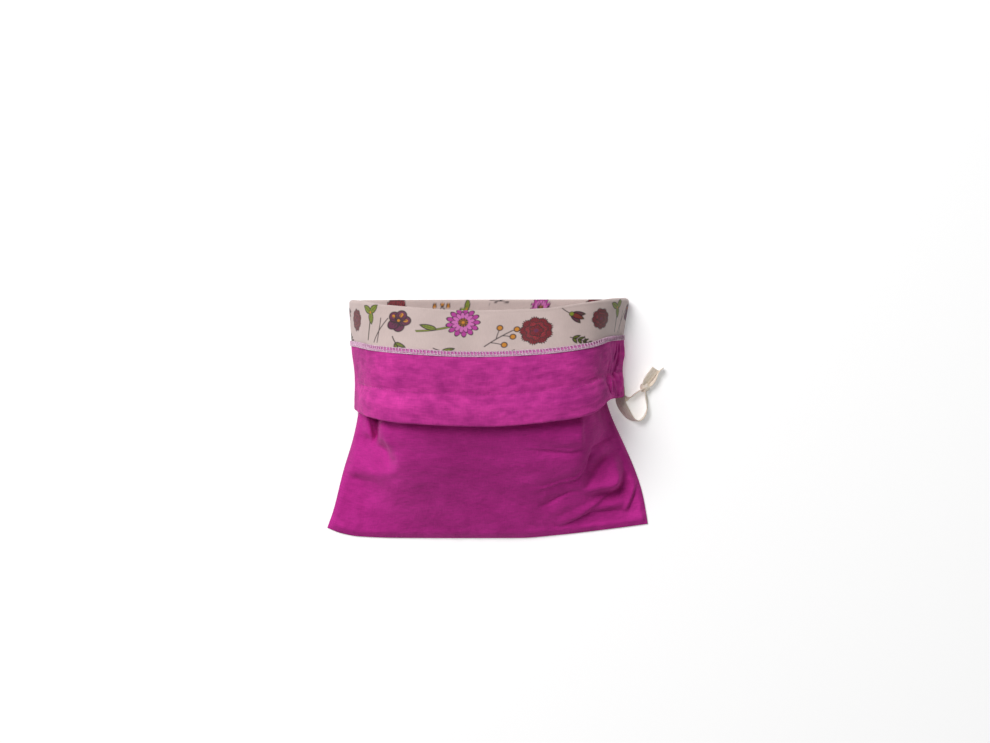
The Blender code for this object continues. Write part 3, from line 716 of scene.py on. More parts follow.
def lining_band(across, along):
    """The middle of the lining where it shows on the front of the cuff."""
    s, t = across * CLOTH_WIDTH, along * CUFF_LENGTH
    return band(across, along, LINED + uneven(s, t, *LINING_UNEVEN) * smooth(along / SLACK_EASE))


def inset_columns(columns, along):
    """The same columns, with the outer ones moved in to where the lining ends."""
    inset = LINING_INSET + (LINING_INSET_AT_MOUTH - LINING_INSET) * near_mouth(along)
    from_left = 1 - smooth(columns / INSET_REACH)
    from_right = 1 - smooth((1 - columns) / INSET_REACH)
    return columns + (from_left - from_right) * inset / SECTION_LENGTH


# Meshes

Patch = namedtuple("Patch", "points flat")  # rows of points, and their places on the flat cloth


def rows_with_flat(rows, t_of_row, across):
    """A patch from rows of points, each at one height t on the flat cloth."""
    s = np.broadcast_to(across * CLOTH_WIDTH, (len(rows), len(across)))
    t = np.broadcast_to(np.array(t_of_row)[:, None], s.shape)
    return Patch(np.array(rows), np.stack([s, t], axis=-1))


def link(name, data):
    """A new object in the scene."""
    made = bpy.data.objects.new(name, data)
    bpy.context.scene.collection.objects.link(made)
    return made


def add_piece(name, points, faces, flats, material):
    """One piece from its points and faces, and the points' places on the flat cloth, which are its UV map."""
    mesh = bpy.data.meshes.new(name)
    mesh.from_pydata((points * MM).tolist(), [], faces)
    mesh.shade_smooth()
    corners = np.empty(len(mesh.loops), int)
    mesh.loops.foreach_get("vertex_index", corners)
    mesh.uv_layers.new(name="flat").data.foreach_set("uv", (flats[corners] * MM).reshape(-1))
    mesh.materials.append(material)
    return link(name, mesh)


def add_cloth(name, patches, material, thickness=0.0, printed=False):
    """One piece of cloth from its patches, and its print as colours of its points."""
    faces, start = [], 0
    for patch in patches:
        count, width = patch.points.shape[:2]
        corner = start + np.arange(count * width).reshape(count, width)
        around = corner[:-1, :-1], corner[:-1, 1:], corner[1:, 1:], corner[1:, :-1]
        faces.append(np.stack(around, axis=-1).reshape(-1, 4))
        start += count * width
    points = np.concatenate([patch.points.reshape(-1, 3) for patch in patches])
    flats = np.concatenate([patch.flat.reshape(-1, 2) for patch in patches])
    piece = add_piece(name, points, np.concatenate(faces).tolist(), flats, material)
    if printed:
        ink = piece.data.color_attributes.new("print", "FLOAT_COLOR", "POINT")
        ink.data.foreach_set("color", np.insert(print_colours(flats), 3, 1, axis=1).reshape(-1))
    if thickness:
        cloth = piece.modifiers.new("cloth", "SOLIDIFY")
        cloth.thickness = thickness * MM
        cloth.offset = 0
    return piece


def even_columns(count, lean=0.0):
    """Even shares across, a little closer together at the side seams, and by a lean at the right."""
    share = np.linspace(0, 1, count)
    share = share + lean * share * (1 - share)
    return share - CROWDING * np.sin(2 * math.pi * share) / (2 * math.pi)


def outer_patch(columns, length, surfaces, alongs, radii, rim_length=0.0):
    """An outer panel: the body, the fold at the mouth, the cuff's inner layer, its rim and the hem.

    surfaces and alongs are those of its three flat parts, and radii those of its two turns.
    """
    lower, inner, shown = (
        [surface(columns, along) for along in shares] for surface, shares in zip(surfaces, alongs)
    )
    rows = lower + turn(lower[-1], inner[0], radii[0]) + inner + turn(inner[-1], shown[0], -radii[1]) + shown
    steps = np.arange(1, TURN_ROWS) / TURN_ROWS
    rim_t = length + CUFF_LENGTH
    t = [alongs[0] * length, length + 0 * steps, length + alongs[1] * CUFF_LENGTH]
    t += [rim_t + rim_length * steps, rim_t + rim_length + (1 - alongs[2]) * CUFF_LENGTH]
    return rows_with_flat(rows, np.concatenate(t), columns)


def outer_front_patch():
    upper = np.linspace(HIDDEN_FROM, 1, HIDDEN_ROWS)[1:]
    alongs = (
        np.concatenate([np.linspace(0, HIDDEN_FROM, BODY_ROWS), upper]),
        np.linspace(0, 1, INNER_ROWS),
        np.linspace(1, HEM_START, HEM_ROWS),
    )
    columns = even_columns(FRONT_COLUMNS, 0.3)
    radii = FOLD_RADIUS, RIM_RADIUS
    return outer_patch(columns, BODY_LENGTH, (body, cuff, hem), alongs, radii, math.pi * RIM_RADIUS)


def outer_back_patch():
    alongs = (
        np.linspace(0, 1, BACK_BODY_ROWS),
        np.linspace(0, 1, BACK_CUFF_ROWS),
        np.linspace(1, HEM_START, BACK_CUFF_ROWS),
    )
    surfaces = back_body, back_inner, functools.partial(back_shown, hem, level=FLOOR_LAYER)
    radii = BACK_FOLD_RADIUS, BACK_FOLD_RADIUS
    return outer_patch(even_columns(BACK_COLUMNS), BACK_LENGTH, surfaces, alongs, radii)


def lining_inside(surface):
    """The lining inside the bag: its columns, its shares along and its rows."""
    columns = even_columns(INSIDE_COLUMNS)
    alongs = np.linspace(LINING_INSET / PANEL_LENGTH, 1, INSIDE_ROWS)
    return columns, alongs, [surface(inset_columns(columns, along), along) for along in alongs]


def lining_turned(edge, surface, columns, count, radius, turn_rows, length):
    """The lining's rows from one at the mouth round the fold and down the cuff, and each one's flat t."""
    alongs = np.linspace(0, HEM_START - SEAM_SLIT, count)
    shown = [surface(columns, along) for along in alongs]
    turned = math.pi * radius
    t = [length + turned * np.arange(turn_rows) / turn_rows, length + turned + alongs * CUFF_LENGTH]
    return [edge, *turn(edge, shown[0], radius, turn_rows), *shown], np.concatenate(t)


def front_lining_row(across, along):
    row = body(across, along)
    slack = np.minimum(inner_room(row) * LINING_SLACK_SHARE, LINING_SLACK) * free_share(across, along)
    return row - normals(body, across, along) * (LINING_GAP + slack)[:, None]


def lining_front_patches():
    """The lining inside the body, and its finer part from the fold down the cuff."""
    columns, alongs, rows = lining_inside(front_lining_row)
    inside = rows_with_flat(rows, alongs * BODY_LENGTH, columns)
    columns = even_columns(BAND_COLUMNS)
    ends = inset_columns(columns, 1.0)
    edge = body_form(ends, 1.0) - normals(body_form, ends, 1.0) * LINED
    radius = FOLD_RADIUS + LINED
    rows, t = lining_turned(edge, lining_band, columns, BAND_ROWS, radius, 3 * TURN_ROWS, BODY_LENGTH)
    return inside, rows_with_flat(rows, t, columns)


def lining_back_patch():
    columns, alongs, rows = lining_inside(lambda across, along: back_body(across, along) + (0, 0, LINED))
    surface = functools.partial(back_shown, lining_band, level=LINING_LEVEL)
    radius = BACK_FOLD_RADIUS + LINED
    turned, t = lining_turned(rows[-1], surface, columns, BACK_CUFF_ROWS, radius, TURN_ROWS, BACK_LENGTH)
    t = np.concatenate([alongs[:-1] * BACK_LENGTH, t])
    return rows_with_flat(rows[:-1] + turned, t, columns)


# The print: a repeat of loose flowers, sprigs and berries, drawn point by point on the flat cloth


Motif = namedtuple("Motif", "draw s t turn size")
REPEAT_WIDTH = 236.0
REPEAT_LENGTH = 148.0
INK_EDGE = 0.3  # half the width over which a drawn edge fades
LINE = 0.55  # half the width of a drawn line
STREAK = 0.3  # and of a fine one inside a flower
SHADES = {
    "ground": (0.57, 0.45, 0.425),
    "outline": (0.028, 0.014, 0.016),
    "red": (0.25, 0.008, 0.02),
    "bright_red": (0.4, 0.018, 0.035),
    "magenta": (0.42, 0.035, 0.28),
    "pale_magenta": (0.58, 0.14, 0.42),
    "green": (0.21, 0.25, 0.02),
    "dark_green": (0.05, 0.07, 0.012),
    "ochre": (0.56, 0.21, 0.015),
    "plum": (0.12, 0.02, 0.06),
}


class Ink:
    """The colours of points on the cloth, seen from one motif's middle and turned with it."""

    def __init__(self, colours, chosen, u, v):
        self.colours, self.chosen, self.u, self.v = colours, chosen, u, v

    def fill(self, distance, shade):
        """Colours what lies inside: distance is below 0 there."""
        cover = np.clip(0.5 - distance / (2 * INK_EDGE), 0, 1)[:, None]
        self.colours[self.chosen] += cover * (np.array(SHADES[shade]) - self.colours[self.chosen])

    def line(self, distance, width=LINE, shade="outline"):
        self.fill(np.abs(distance) - width, shade)

    def spot(self, radius, shade, line=0.0):
        """A disc in the middle, with an outline of this width or none."""
        reach = self.polar()[0] - radius
        self.fill(reach, shade)
        if line:
            self.line(reach, line)

    def moved(self, u, v, turn=0.0):
        """The same points, from another middle and turned."""
        cos, sin = math.cos(turn), math.sin(turn)
        du, dv = self.u - u, self.v - v
        return Ink(self.colours, self.chosen, du * cos + dv * sin, dv * cos - du * sin)

    def polar(self):
        return np.hypot(self.u, self.v), np.arctan2(self.v, self.u)


def petals(ink, count, size, hollow, shade, start=0.0, frill=0.0):
    """A ring of petals, each parted from the next by a line. frill makes their edge ragged."""
    reach, angle = ink.polar()
    part = np.abs(np.cos(count * (angle - start) / 2))
    ragged = frill * np.cos(5 * count * (angle - start)) * part
    edge = size * (1 - hollow * (1 - part**0.7) + ragged)
    ink.fill(reach - edge, shade)
    ink.line(reach - edge)
    between = np.maximum(part * reach, reach - edge)
    ink.fill(between - LINE * 0.8, "outline")


def streaks(ink, count, inner, outer):
    """Fine lines that run out from the middle between two circles."""
    reach, angle = ink.polar()
    beside = np.abs(np.sin(count * angle / 2)) * 2 / count * reach
    ink.fill(np.maximum(beside - STREAK, np.maximum(inner - reach, reach - outer)), "outline")


def draw_bloom(ink, size):
    """A full round flower of ragged petals in three rings."""
    petals(ink, 9, size, 0.14, "red", 0.2, 0.06)
    streaks(ink, 37, 0.72 * size, 0.92 * size)
    petals(ink, 7, 0.7 * size, 0.18, "bright_red", 0.7, 0.07)
    streaks(ink, 29, 0.48 * size, 0.64 * size)
    petals(ink, 5, 0.44 * size, 0.22, "red", 0.3, 0.08)
    streaks(ink, 13, 0.2 * size, 0.4 * size)
    ink.spot(0.15 * size, "plum")


def draw_star(ink, size):
    """A flower of long narrow petals round a dark eye."""
    petals(ink, 13, size, 0.34, "magenta", 0.1)
    petals(ink, 13, 0.72 * size, 0.4, "pale_magenta", 0.34)
    ink.spot(0.3 * size, "outline")
    reach, angle = ink.polar()
    ink.fill(reach - 0.24 * size + 0.05 * size * np.cos(9 * angle), "ochre")
    streaks(ink, 17, 0.1 * size, 0.26 * size)


def draw_pansy(ink, size):
    """A low flower of five dark petals with bright marks on the lower ones."""
    for turn, length in ((1.1, 0.95), (2.05, 0.95), (-0.35, 0.85), (3.5, 0.85), (-1.57, 0.8)):
        petal = ink.moved(0.52 * length * size * math.cos(turn), 0.52 * length * size * math.sin(turn), turn)
        reach = np.hypot(petal.u / 1.15, petal.v) - 0.44 * size
        petal.fill(reach, "plum")
        petal.line(reach, 0.45)
        if length < 0.9:
            petal.fill(np.hypot(petal.u - 0.1 * size, petal.v * 1.5) - 0.2 * size, "ochre")
    streaks(ink, 15, 0.12 * size, 0.62 * size)
    ink.spot(0.13 * size, "ochre")
    ink.line(ink.polar()[0] - 0.15 * size, 0.3)


def draw_leaf(ink, length, width, shade="green"):
    """One leaf from the middle along u, with its midrib and veins."""
    share = np.clip(ink.u / length, 0, 1)
    half = width * np.sqrt(share) * (1 - share) ** 0.75 * 1.5
    beyond = np.maximum(-ink.u, ink.u - length)
    distance = np.maximum(np.abs(ink.v) - half, beyond)
    ink.fill(distance, shade)
    ink.line(distance, 0.5)
    ink.fill(np.maximum(np.abs(ink.v) - 0.25, beyond), "dark_green")
    vein = np.abs((ink.u - np.abs(ink.v)) % 2.6 - 1.3) - 0.12
    ink.fill(np.maximum(vein, distance + 0.5), "dark_green")


def draw_stem(ink, length, bend, width=0.5, shade="outline"):
    """A stem from the middle along u, bent to one side."""
    share = np.clip(ink.u / length, 0, 1)
    away = np.abs(ink.v - bend * share**2)
    ink.fill(np.maximum(away - width, np.maximum(-ink.u, ink.u - length)), shade)


def draw_stalked_star(ink, size):
    stalk = ink.moved(0, 0, -math.pi / 2)
    draw_stem(stalk, 2.7 * size, 0.5 * size, 1.1)
    draw_stem(stalk, 2.7 * size, 0.5 * size, 0.55, "green")
    draw_leaf(stalk.moved(1.6 * size, 0.2 * size, 0.7), 0.95 * size, 0.24 * size)
    draw_star(ink, size)


def draw_sprig(ink, size):
    """A stem with pairs of leaves."""
    draw_stem(ink, 2 * size, 0.25 * size, 0.4)
    for step in range(4):
        share = (step + 0.6) / 4
        at = 2 * size * share, 0.25 * size * share**2
        leaf = size * (0.62 - 0.09 * step)
        draw_leaf(ink.moved(*at, 0.75), leaf, 0.3 * leaf)
        draw_leaf(ink.moved(*at, -0.6), leaf, 0.3 * leaf)
    draw_leaf(ink.moved(1.95 * size, 0.24 * size, 0.2), 0.5 * size, 0.15 * size)


def draw_leaf_pair(ink, size):
    """Two leaves on a short stem."""
    draw_stem(ink.moved(0, 0, math.pi), 0.8 * size, 0.1 * size, 0.5)
    draw_leaf(ink.moved(0, 0, 0.45), 1.3 * size, 0.26 * size)
    draw_leaf(ink.moved(0, 0, -0.5), size, 0.26 * size)


def draw_trefoil(ink, size):
    """Three round leaves on a thin stem."""
    stalk = ink.moved(0, 0, -1.9)
    draw_stem(stalk, 2.3 * size, 0.3 * size, 0.8)
    draw_stem(stalk, 2.3 * size, 0.3 * size, 0.25, "dark_green")
    for turn in (0.3, 2.2, 4.2):
        draw_leaf(ink.moved(0, 0, turn), size, 0.42 * size)
    ink.spot(0.1 * size, "ochre")


def draw_berries(ink, size):
    """A bare dark twig with berries at its tips."""
    draw_stem(ink, 1.9 * size, 0.2 * size, 0.5)
    for along, turn, length in ((0.45, 0.8, 0.7), (0.85, -0.75, 0.65), (1.25, 0.7, 0.5), (1.85, 0.1, 0.2)):
        twig = ink.moved(along * size, 0.2 * size * (along / 1.9) ** 2, turn)
        draw_stem(twig, length * size, 0.08 * size, 0.4)
        twig.moved(length * size + 0.12 * size, 0.08 * size).spot(0.17 * size, "ochre", 0.45)


def draw_bud(ink, size):
    """A closed flower of three pointed petals on a short stem."""
    draw_stem(ink.moved(0, 0, math.pi), size, 0.15 * size, 0.4)
    for turn in (-0.42, 0.42, 0.0):
        draw_leaf(ink.moved(0, 0, turn), 1.15 * size, 0.34 * size, "plum" if turn else "red")
    ink.spot(0.2 * size, "green", 0.3)


def draw_grass(ink, size):
    """Two thin crossing blades."""
    draw_stem(ink, 2 * size, 0.3 * size, 0.5)
    draw_stem(ink.moved(0.1 * size, 0.3 * size, -0.25), 1.8 * size, -0.1 * size, 0.45)


# Places are measured from the mouth, down the cuff.
MOTIFS = rows_of(
    Motif,
    (draw_bloom, 24, 27, 0.2, 11.0),
    (draw_trefoil, 52, 17, 3.3, 12.0),
    (draw_grass, 63, 46, 5.0, 14),
    (draw_pansy, 85, 22, 0.3, 11.0),
    (draw_stalked_star, 139, 20, 4.25, 14.5),
    (draw_berries, 158, 44, 5.6, 14.5),
    (draw_bloom, 201, 30, 0.9, 13.5),
    (draw_bud, 231, 17, 0.6, 10.5),
    (draw_sprig, 228, 40, 0.4, 9.5),
    (draw_leaf_pair, 86, 44, 0.9, 9.0),
    (draw_bud, 6, 50, 1.2, 9.0),
    (draw_sprig, 40, 52, 0.1, 11.0),
    (draw_leaf_pair, 124, 49, 0.2, 10.0),
    (draw_leaf_pair, 176, 52, 2.5, 11.0),
    (draw_trefoil, 12, 82, 2.2, 11),
    (draw_berries, 30, 72, 0.4, 13),
    (draw_star, 66, 88, 0.2, 13),
    (draw_grass, 92, 70, 0.6, 14),
    (draw_bloom, 116, 88, 1.4, 12),
    (draw_bud, 142, 70, 2.6, 10),
    (draw_sprig, 146, 98, 0.5, 12),
    (draw_stalked_star, 204, 84, 1.2, 12.0),
    (draw_bud, 226, 100, 0.7, 9),
    (draw_pansy, 186, 112, 2.0, 10),
    (draw_sprig, 14, 112, 0.2, 11),
    (draw_bloom, 50, 128, 0.5, 12),
    (draw_berries, 86, 118, 0.3, 13),
    (draw_trefoil, 134, 126, 1.2, 11),
    (draw_grass, 160, 132, 0.2, 13),
    (draw_star, 222, 128, 0.8, 12),
)
MOTIF_REACH = 3.4  # of the largest motif from its middle, in its sizes


def print_colours(flat):
    """The print's colour at each place on the flat cloth."""
    places = flat - (0, BODY_LENGTH)
    colours = np.tile(np.array(SHADES["ground"]), (len(places), 1))
    low, high = places.min(axis=0), places.max(axis=0)
    for motif in MOTIFS:
        reach = MOTIF_REACH * motif.size
        for across in range(math.floor(low[0] / REPEAT_WIDTH) - 1, math.ceil(high[0] / REPEAT_WIDTH) + 1):
            for up in range(math.floor(low[1] / REPEAT_LENGTH) - 1, math.ceil(high[1] / REPEAT_LENGTH) + 1):
                away = places - (motif.s + across * REPEAT_WIDTH, motif.t + up * REPEAT_LENGTH)
                chosen = np.flatnonzero((np.abs(away) < reach).all(axis=1))
                if len(chosen):
                    ink = Ink(colours, chosen, away[chosen, 0], away[chosen, 1])
                    motif.draw(ink.moved(0, 0, motif.turn), motif.size)
    return colours


# Materials


class Graph:
    """A material's nodes."""

    def __init__(self, name, **fixed):
        self.material = bpy.data.materials.new(name)
        self.material.use_nodes = True
        self.tree = self.material.node_tree
        self.shader = self.tree.nodes["Principled BSDF"]
        for socket, value in fixed.items():
            self.shader.inputs[socket.replace("_", " ")].default_value = value

    def node(self, kind, inputs, output=0, **settings):
        """The output of a new node."""
        made = self.tree.nodes.new("ShaderNode" + kind)
        for key, value in settings.items():
            setattr(made, key, value)
        for key, value in inputs.items():
            if isinstance(value, bpy.types.NodeSocket):
                self.tree.links.new(value, made.inputs[key])
            else:
                made.inputs[key].default_value = value
        return made.outputs[output]

    def flat(self):
        return self.node("UVMap", {}, uv_map="flat")

    def noise(self, place, size_s, size_t, detail=2.0, seed=0.0):
        """Noise of these sizes in millimetres on the flat cloth, 0 to 1."""
        scale = (1 / (size_s * MM), 1 / (size_t * MM), 1)
        shifted = self.node("Mapping", {"Vector": place, "Scale": scale, "Location": (seed,) * 3})
        inputs = {"Vector": shifted, "Scale": 1.0, "Detail": detail}
        return self.node("TexNoise", inputs, noise_dimensions="2D")

    def math(self, operation, first, second=0.0, third=0.0):
        return self.node("Math", {0: first, 1: second, 2: third}, operation=operation)

    def ramp(self, value, low, high, start=0.0, end=1.0):
        """A value from between low and high to between start and end."""
        inputs = {"Value": value, "From Min": low, "From Max": high, "To Min": start, "To Max": end}
        return self.node("MapRange", inputs)

    def mix(self, factor, first, second, blend="MIX"):
        """Two colours mixed. A colour here is a tuple or another node's output."""
        first, second = ((*c, 1) if isinstance(c, tuple) else c for c in (first, second))
        return self.node("Mix", {0: factor, 6: first, 7: second}, 2, data_type="RGBA", blend_type=blend)

    def weave(self, place, pitch):
        """The over and under of plain cloth, 0 to 1, for threads this many millimetres apart."""
        turn = math.pi / (pitch * MM)
        across, up = (
            self.math("SINE", self.math("MULTIPLY", self.node("SeparateXYZ", {0: place}, way), turn))
            for way in (0, 1)
        )
        return self.math("MULTIPLY_ADD", self.math("MULTIPLY", across, up), 0.5, 0.5)

    def toned(self, colour, grey):
        """A colour made lighter or darker by a grey around 1."""
        return self.mix(1.0, colour, self.node("CombineColor", {0: grey, 1: grey, 2: grey}), "MULTIPLY")

    def bump(self, height, distance, under=None):
        inputs = {"Height": height, "Distance": distance * MM, "Strength": 1.0}
        if under is not None:
            inputs["Normal"] = under
        return self.node("Bump", inputs)

    def finish(self, colour, normal):
        self.tree.links.new(colour, self.shader.inputs["Base Color"])
        self.tree.links.new(normal, self.shader.inputs["Normal"])
        return self.material


# The body's magenta with more green than its own colour: partly painted sheen, the pale veil its fuzz
# reflects.
BODY_SHADES_AND_SHEEN = (0.44, 0.023, 0.235), (0.54, 0.03, 0.291)
HEM_SHADES = (0.36, 0.024, 0.205), (0.68, 0.052, 0.358)
HEM_FROM = 352.0  # the height on the flat cloth, near the rim, where the hem's shades begin
CASING_TO = 395.0  # and where its casing ends; the cloth up to there is painted a little lighter, as painted light where the casing bulges up towards the lamp
# painted light: how much lighter the cloth up to the casing's stitches is painted
CASING_PAINTED_LIGHT = 1.09
SHADE_EDGE = 2.0  # over which one gives way to the other


def add_linen():
    """The outer cloth: slubby linen, cloudier and lighter on the side that the hem shows."""
    sheen = {"Sheen_Weight": 0.05, "Sheen_Roughness": 0.5}
    graph = Graph("outer_cloth", Roughness=0.8, Specular_IOR_Level=0.04, **sheen)
    flat = graph.flat()
    along = graph.node("SeparateXYZ", {0: flat}, 1)
    clouds = graph.ramp(graph.noise(flat, 30, 22, 5.0), 0.3, 0.7)
    wisps = graph.ramp(graph.noise(flat, 11, 7, 4.0, 7.0), 0.3, 0.7)
    picks = graph.noise(flat, 9, 0.9, 3.0, 3.0)
    ends = graph.noise(flat, 0.9, 7, 3.0, 5.0)
    # the body's colour, whose green is partly painted sheen
    body_shade_and_sheen = graph.mix(clouds, *BODY_SHADES_AND_SHEEN)
    cloudy = graph.math("MULTIPLY_ADD", wisps, 0.5, graph.math("MULTIPLY", clouds, 0.5))
    hemmed = graph.ramp(along, (HEM_FROM - SHADE_EDGE) * MM, HEM_FROM * MM)
    shade = graph.mix(hemmed, body_shade_and_sheen, graph.mix(cloudy, *HEM_SHADES))
    threads = graph.math("MULTIPLY_ADD", picks, 0.6, graph.math("MULTIPLY", ends, 0.4))
    # Painted light: up to the casing's stitches the cloth is painted lighter, for the light on the casing's
    # bulge.
    lighter = graph.ramp(along, (CASING_TO - SHADE_EDGE) * MM, CASING_TO * MM, CASING_PAINTED_LIGHT, 1.0)
    grey = graph.math("MULTIPLY", graph.ramp(threads, 0.3, 0.7, 0.82, 1.12), lighter)
    surface = graph.bump(graph.weave(flat, 0.85), 0.05)
    surface = graph.bump(threads, 0.22, surface)
    surface = graph.bump(wisps, 0.35, surface)
    return graph.finish(graph.toned(shade, grey), surface)


def add_printed_cotton():
    """The lining: smooth cotton with the print."""
    graph = Graph("lining_cloth", Roughness=0.6, Specular_IOR_Level=0.35, Sheen_Weight=0.08)
    flat = graph.flat()
    printed = graph.node("Attribute", {}, attribute_name="print")
    threads = graph.noise(flat, 0.7, 5, 2.0, 2.0)
    grey = graph.ramp(graph.noise(flat, 24, 18, 3.0, 4.0), 0.3, 0.7, 0.95, 1.03)
    fine = graph.math("MULTIPLY", grey, graph.ramp(threads, 0.2, 0.8, 0.96, 1.04))
    surface = graph.bump(graph.weave(flat, 0.5), 0.02)
    surface = graph.bump(graph.noise(flat, 7, 6, 3.0, 9.0), 0.25, surface)
    return graph.finish(graph.toned(printed, fine), surface)


def add_thread(name, dark, light):
    """Spun thread, a little uneven."""
    graph = Graph(name, Roughness=0.75, Specular_IOR_Level=0.3, Sheen_Weight=0.3)
    flat = graph.flat()
    speckle = graph.noise(flat, 1.4, 1.1, 2.0)
    twist = graph.noise(flat, 0.5, 0.25, 1.0, 3.0)
    colour = graph.mix(graph.ramp(speckle, 0.25, 0.75), dark, light)
    return graph.finish(colour, graph.bump(twist, 0.12))


def add_tape_cotton():
    """The drawstring: undyed cotton twill tape, laid out along t, with s across it from its middle."""
    graph = Graph("cotton_tape", Roughness=0.8, Specular_IOR_Level=0.3, Sheen_Weight=0.3)
    flat = graph.flat()
    flecks = graph.noise(flat, 1.2, 4.0, 3.0)
    colour = graph.mix(graph.ramp(flecks, 0.3, 0.75), (0.8, 0.7, 0.56), (0.95, 0.89, 0.79))
    wave = {"Vector": flat, "Scale": 0.28 / MM, "Distortion": 0.4}
    twill = graph.node("TexWave", wave, 1, bands_direction="DIAGONAL")
    return graph.finish(colour, graph.bump(twill, 0.12))


# Threads and tape


def tube(line, radius, sides=6, flatten=1.0):
    """A closed tube round a line, as points and faces. flatten squeezes it along its local up."""
    line = np.asarray(line, float)
    run = np.gradient(line, axis=0)
    run /= np.linalg.norm(run, axis=1)[:, None] + 1e-9
    level = np.cross(run, (0, 0, 1))
    size = np.linalg.norm(level, axis=1)[:, None]
    level = np.where(size > 1e-3, level / (size + 1e-9), (1.0, 0, 0))
    up = np.cross(level, run)
    angle = 2 * math.pi * np.arange(sides) / sides
    radius = np.broadcast_to(radius, len(line))[:, None, None]
    circle = level[:, None] * np.cos(angle)[:, None] + up[:, None] * np.sin(angle)[:, None] * flatten
    points = (line[:, None] + radius * circle).reshape(-1, 3)
    points = np.concatenate([points, line[:1], line[-1:]])
    rings, around = len(line), np.arange(sides)
    following = (around + 1) % sides
    faces = []
    for ring in range(rings - 1):
        base = ring * sides
        faces += [(base + a, base + b, base + sides + b, base + sides + a) for a, b in zip(around, following)]
    faces += [(b, a, rings * sides) for a, b in zip(around, following)]
    last = (rings - 1) * sides
    faces += [(last + a, last + b, rings * sides + 1) for a, b in zip(around, following)]
    return points, faces


def add_tubes(name, tubes, material):
    """Many tubes as one piece. Their flat places are simply X and Y."""
    faces, start = [], 0
    for found, sides in tubes:
        faces += [tuple(int(i) + start for i in face) for face in sides]
        start += len(found)
    points = np.concatenate([found for found, _ in tubes])
    return add_piece(name, points, faces, points[:, :2], material)


OVERLOCK_HALF = 2.3  # half the width of the overlocked edge
OVERLOCK_PITCH = 2.7
OVERLOCK_SLANT = 1.3  # how far a thread runs on between the two edges
OVERLOCK_LIFT = 0.9  # of its threads above the middle of the hem
FLAT_OVERLOCK = 0.2  # how thick the back's is, pressed between the cloth and what it lies on
BACK_EDGE_LEVEL = 0.3  # its height without a thread's lift
BACK_EDGE_PRESS = 0.7  # the share of that lift by which it hangs lower
BRAIDS = (  # how far down the cuff, radius and lift
    (OVERLOCK_HALF, 0.62, 1.0),
    (-OVERLOCK_HALF, 0.42, 0.8),
    (0.9, 0.45, 0.9),
)
BRAID_STEPS = 420
OVERLOCK_THREAD = 0.52  # radius of a slanting thread
SEAM_THREAD = 0.3  # radius of the seams' sewing
SEAM_IN = 1.0  # how far inside the seam it runs


def front_edge(across, along, lift):
    """A place on the cuff's front near the start of the hem, lifted clear of both cloths."""
    return band(across, along, hem_standoff(across, HEM_START) + np.asarray(lift))


def overlock(surface, height):
    """Threads of an overlocked edge: braids along it and slanting threads between. height flattens it."""

    def line(across, down, lift):
        return surface(np.clip(across, 0, 1), HEM_START + down / CUFF_LENGTH, lift)

    across = np.linspace(0.001, 0.999, BRAID_STEPS)
    wobble = 0.3 * unevenness(across * CLOTH_WIDTH, 0 * across, 4, 1, 31)
    full = OVERLOCK_LIFT * height
    tubes = [
        tube(line(across, down, full * (lift + wobble)), radius * (1 + wobble / 2), 8, height)
        for down, radius, lift in BRAIDS
    ]
    count = round(CLOTH_WIDTH / OVERLOCK_PITCH)
    # The slanting threads lie a little unevenly, and bow up between the braids.
    starts = (np.arange(count) + 0.5) / count + 0.0012 * np.sin(5.3 * np.arange(count))
    steps = np.linspace(0, 1, 6)
    bow = full * (1 + 0.45 * np.sin(0.2 + (math.pi - 0.4) * steps))
    rows = [
        line(starts + OVERLOCK_SLANT / CLOTH_WIDTH * step, OVERLOCK_HALF * (2 * step - 1), lift)
        for step, lift in zip(steps, bow)
    ]
    threads = np.stack(rows, axis=1)[starts + OVERLOCK_SLANT / CLOTH_WIDTH < 0.999]
    return tubes + [tube(thread, OVERLOCK_THREAD, 6, height) for thread in threads]


def overlock_base(surface, height):
    """The raw edges under the threads, as a narrow strip."""
    columns = np.linspace(0, 1, 200)
    downs = np.linspace(-OVERLOCK_HALF, OVERLOCK_HALF, 6)
    crown = 0.45 + 0.35 * np.sin(np.linspace(0, math.pi, 6))
    rows = [
        surface(columns, HEM_START + down / CUFF_LENGTH, OVERLOCK_LIFT * height * arch)
        for down, arch in zip(downs, crown)
    ]
    return rows_with_flat(rows, downs, columns)


def back_edge(across, along, lift):
    """A place under the back near the start of its hem."""
    return back_shown(hem, across, along, BACK_EDGE_LEVEL - BACK_EDGE_PRESS * np.asarray(lift))


def seam_threads():
    """The stitches that close the body's sides and bottom, just inside the seam."""
    alongs = np.linspace(0.001, 0.999, 160)
    across = np.linspace(0.004, 0.996, 200)
    sides = [np.array([body_form(ENDS, along) for along in alongs])[:, side] for side in (0, 1)]
    lines = (sides[0] + (SEAM_IN, 0, 0), sides[1] - (SEAM_IN, 0, 0), body_form(across, 0.0) + (0, SEAM_IN, 0))
    return [tube(line + (0, 0, SEAM_THREAD - SEAM_GAP / 2), SEAM_THREAD, 8) for line in lines]


STITCH_LENGTH = 2.4
STITCH_GAP = 0.9
STITCH_RADIUS = 0.22
STITCH_RISE = 0.12  # how far the middle of a stitch stands off the cloth
STITCH_BOW = 0.3  # and how much lower its ends are


def casing_stitches():
    """The line of stitches that closes the casing, sunk into the hem."""
    count = int(CLOTH_WIDTH / (STITCH_LENGTH + STITCH_GAP))
    starts = (np.arange(count) + 0.5) / count
    steps = np.linspace(-1, 1, 4)
    rows = []
    for step in steps:
        shares = np.clip(starts + (step + 1) / 2 * STITCH_LENGTH / CLOTH_WIDTH, 0, 0.999)
        rows.append(hem(shares, STITCH_LINE, OUTER / 2 + STITCH_RISE - STITCH_BOW * step**2))
    return [tube(stitch, STITCH_RADIUS, 5) for stitch in np.stack(rows, axis=1)]


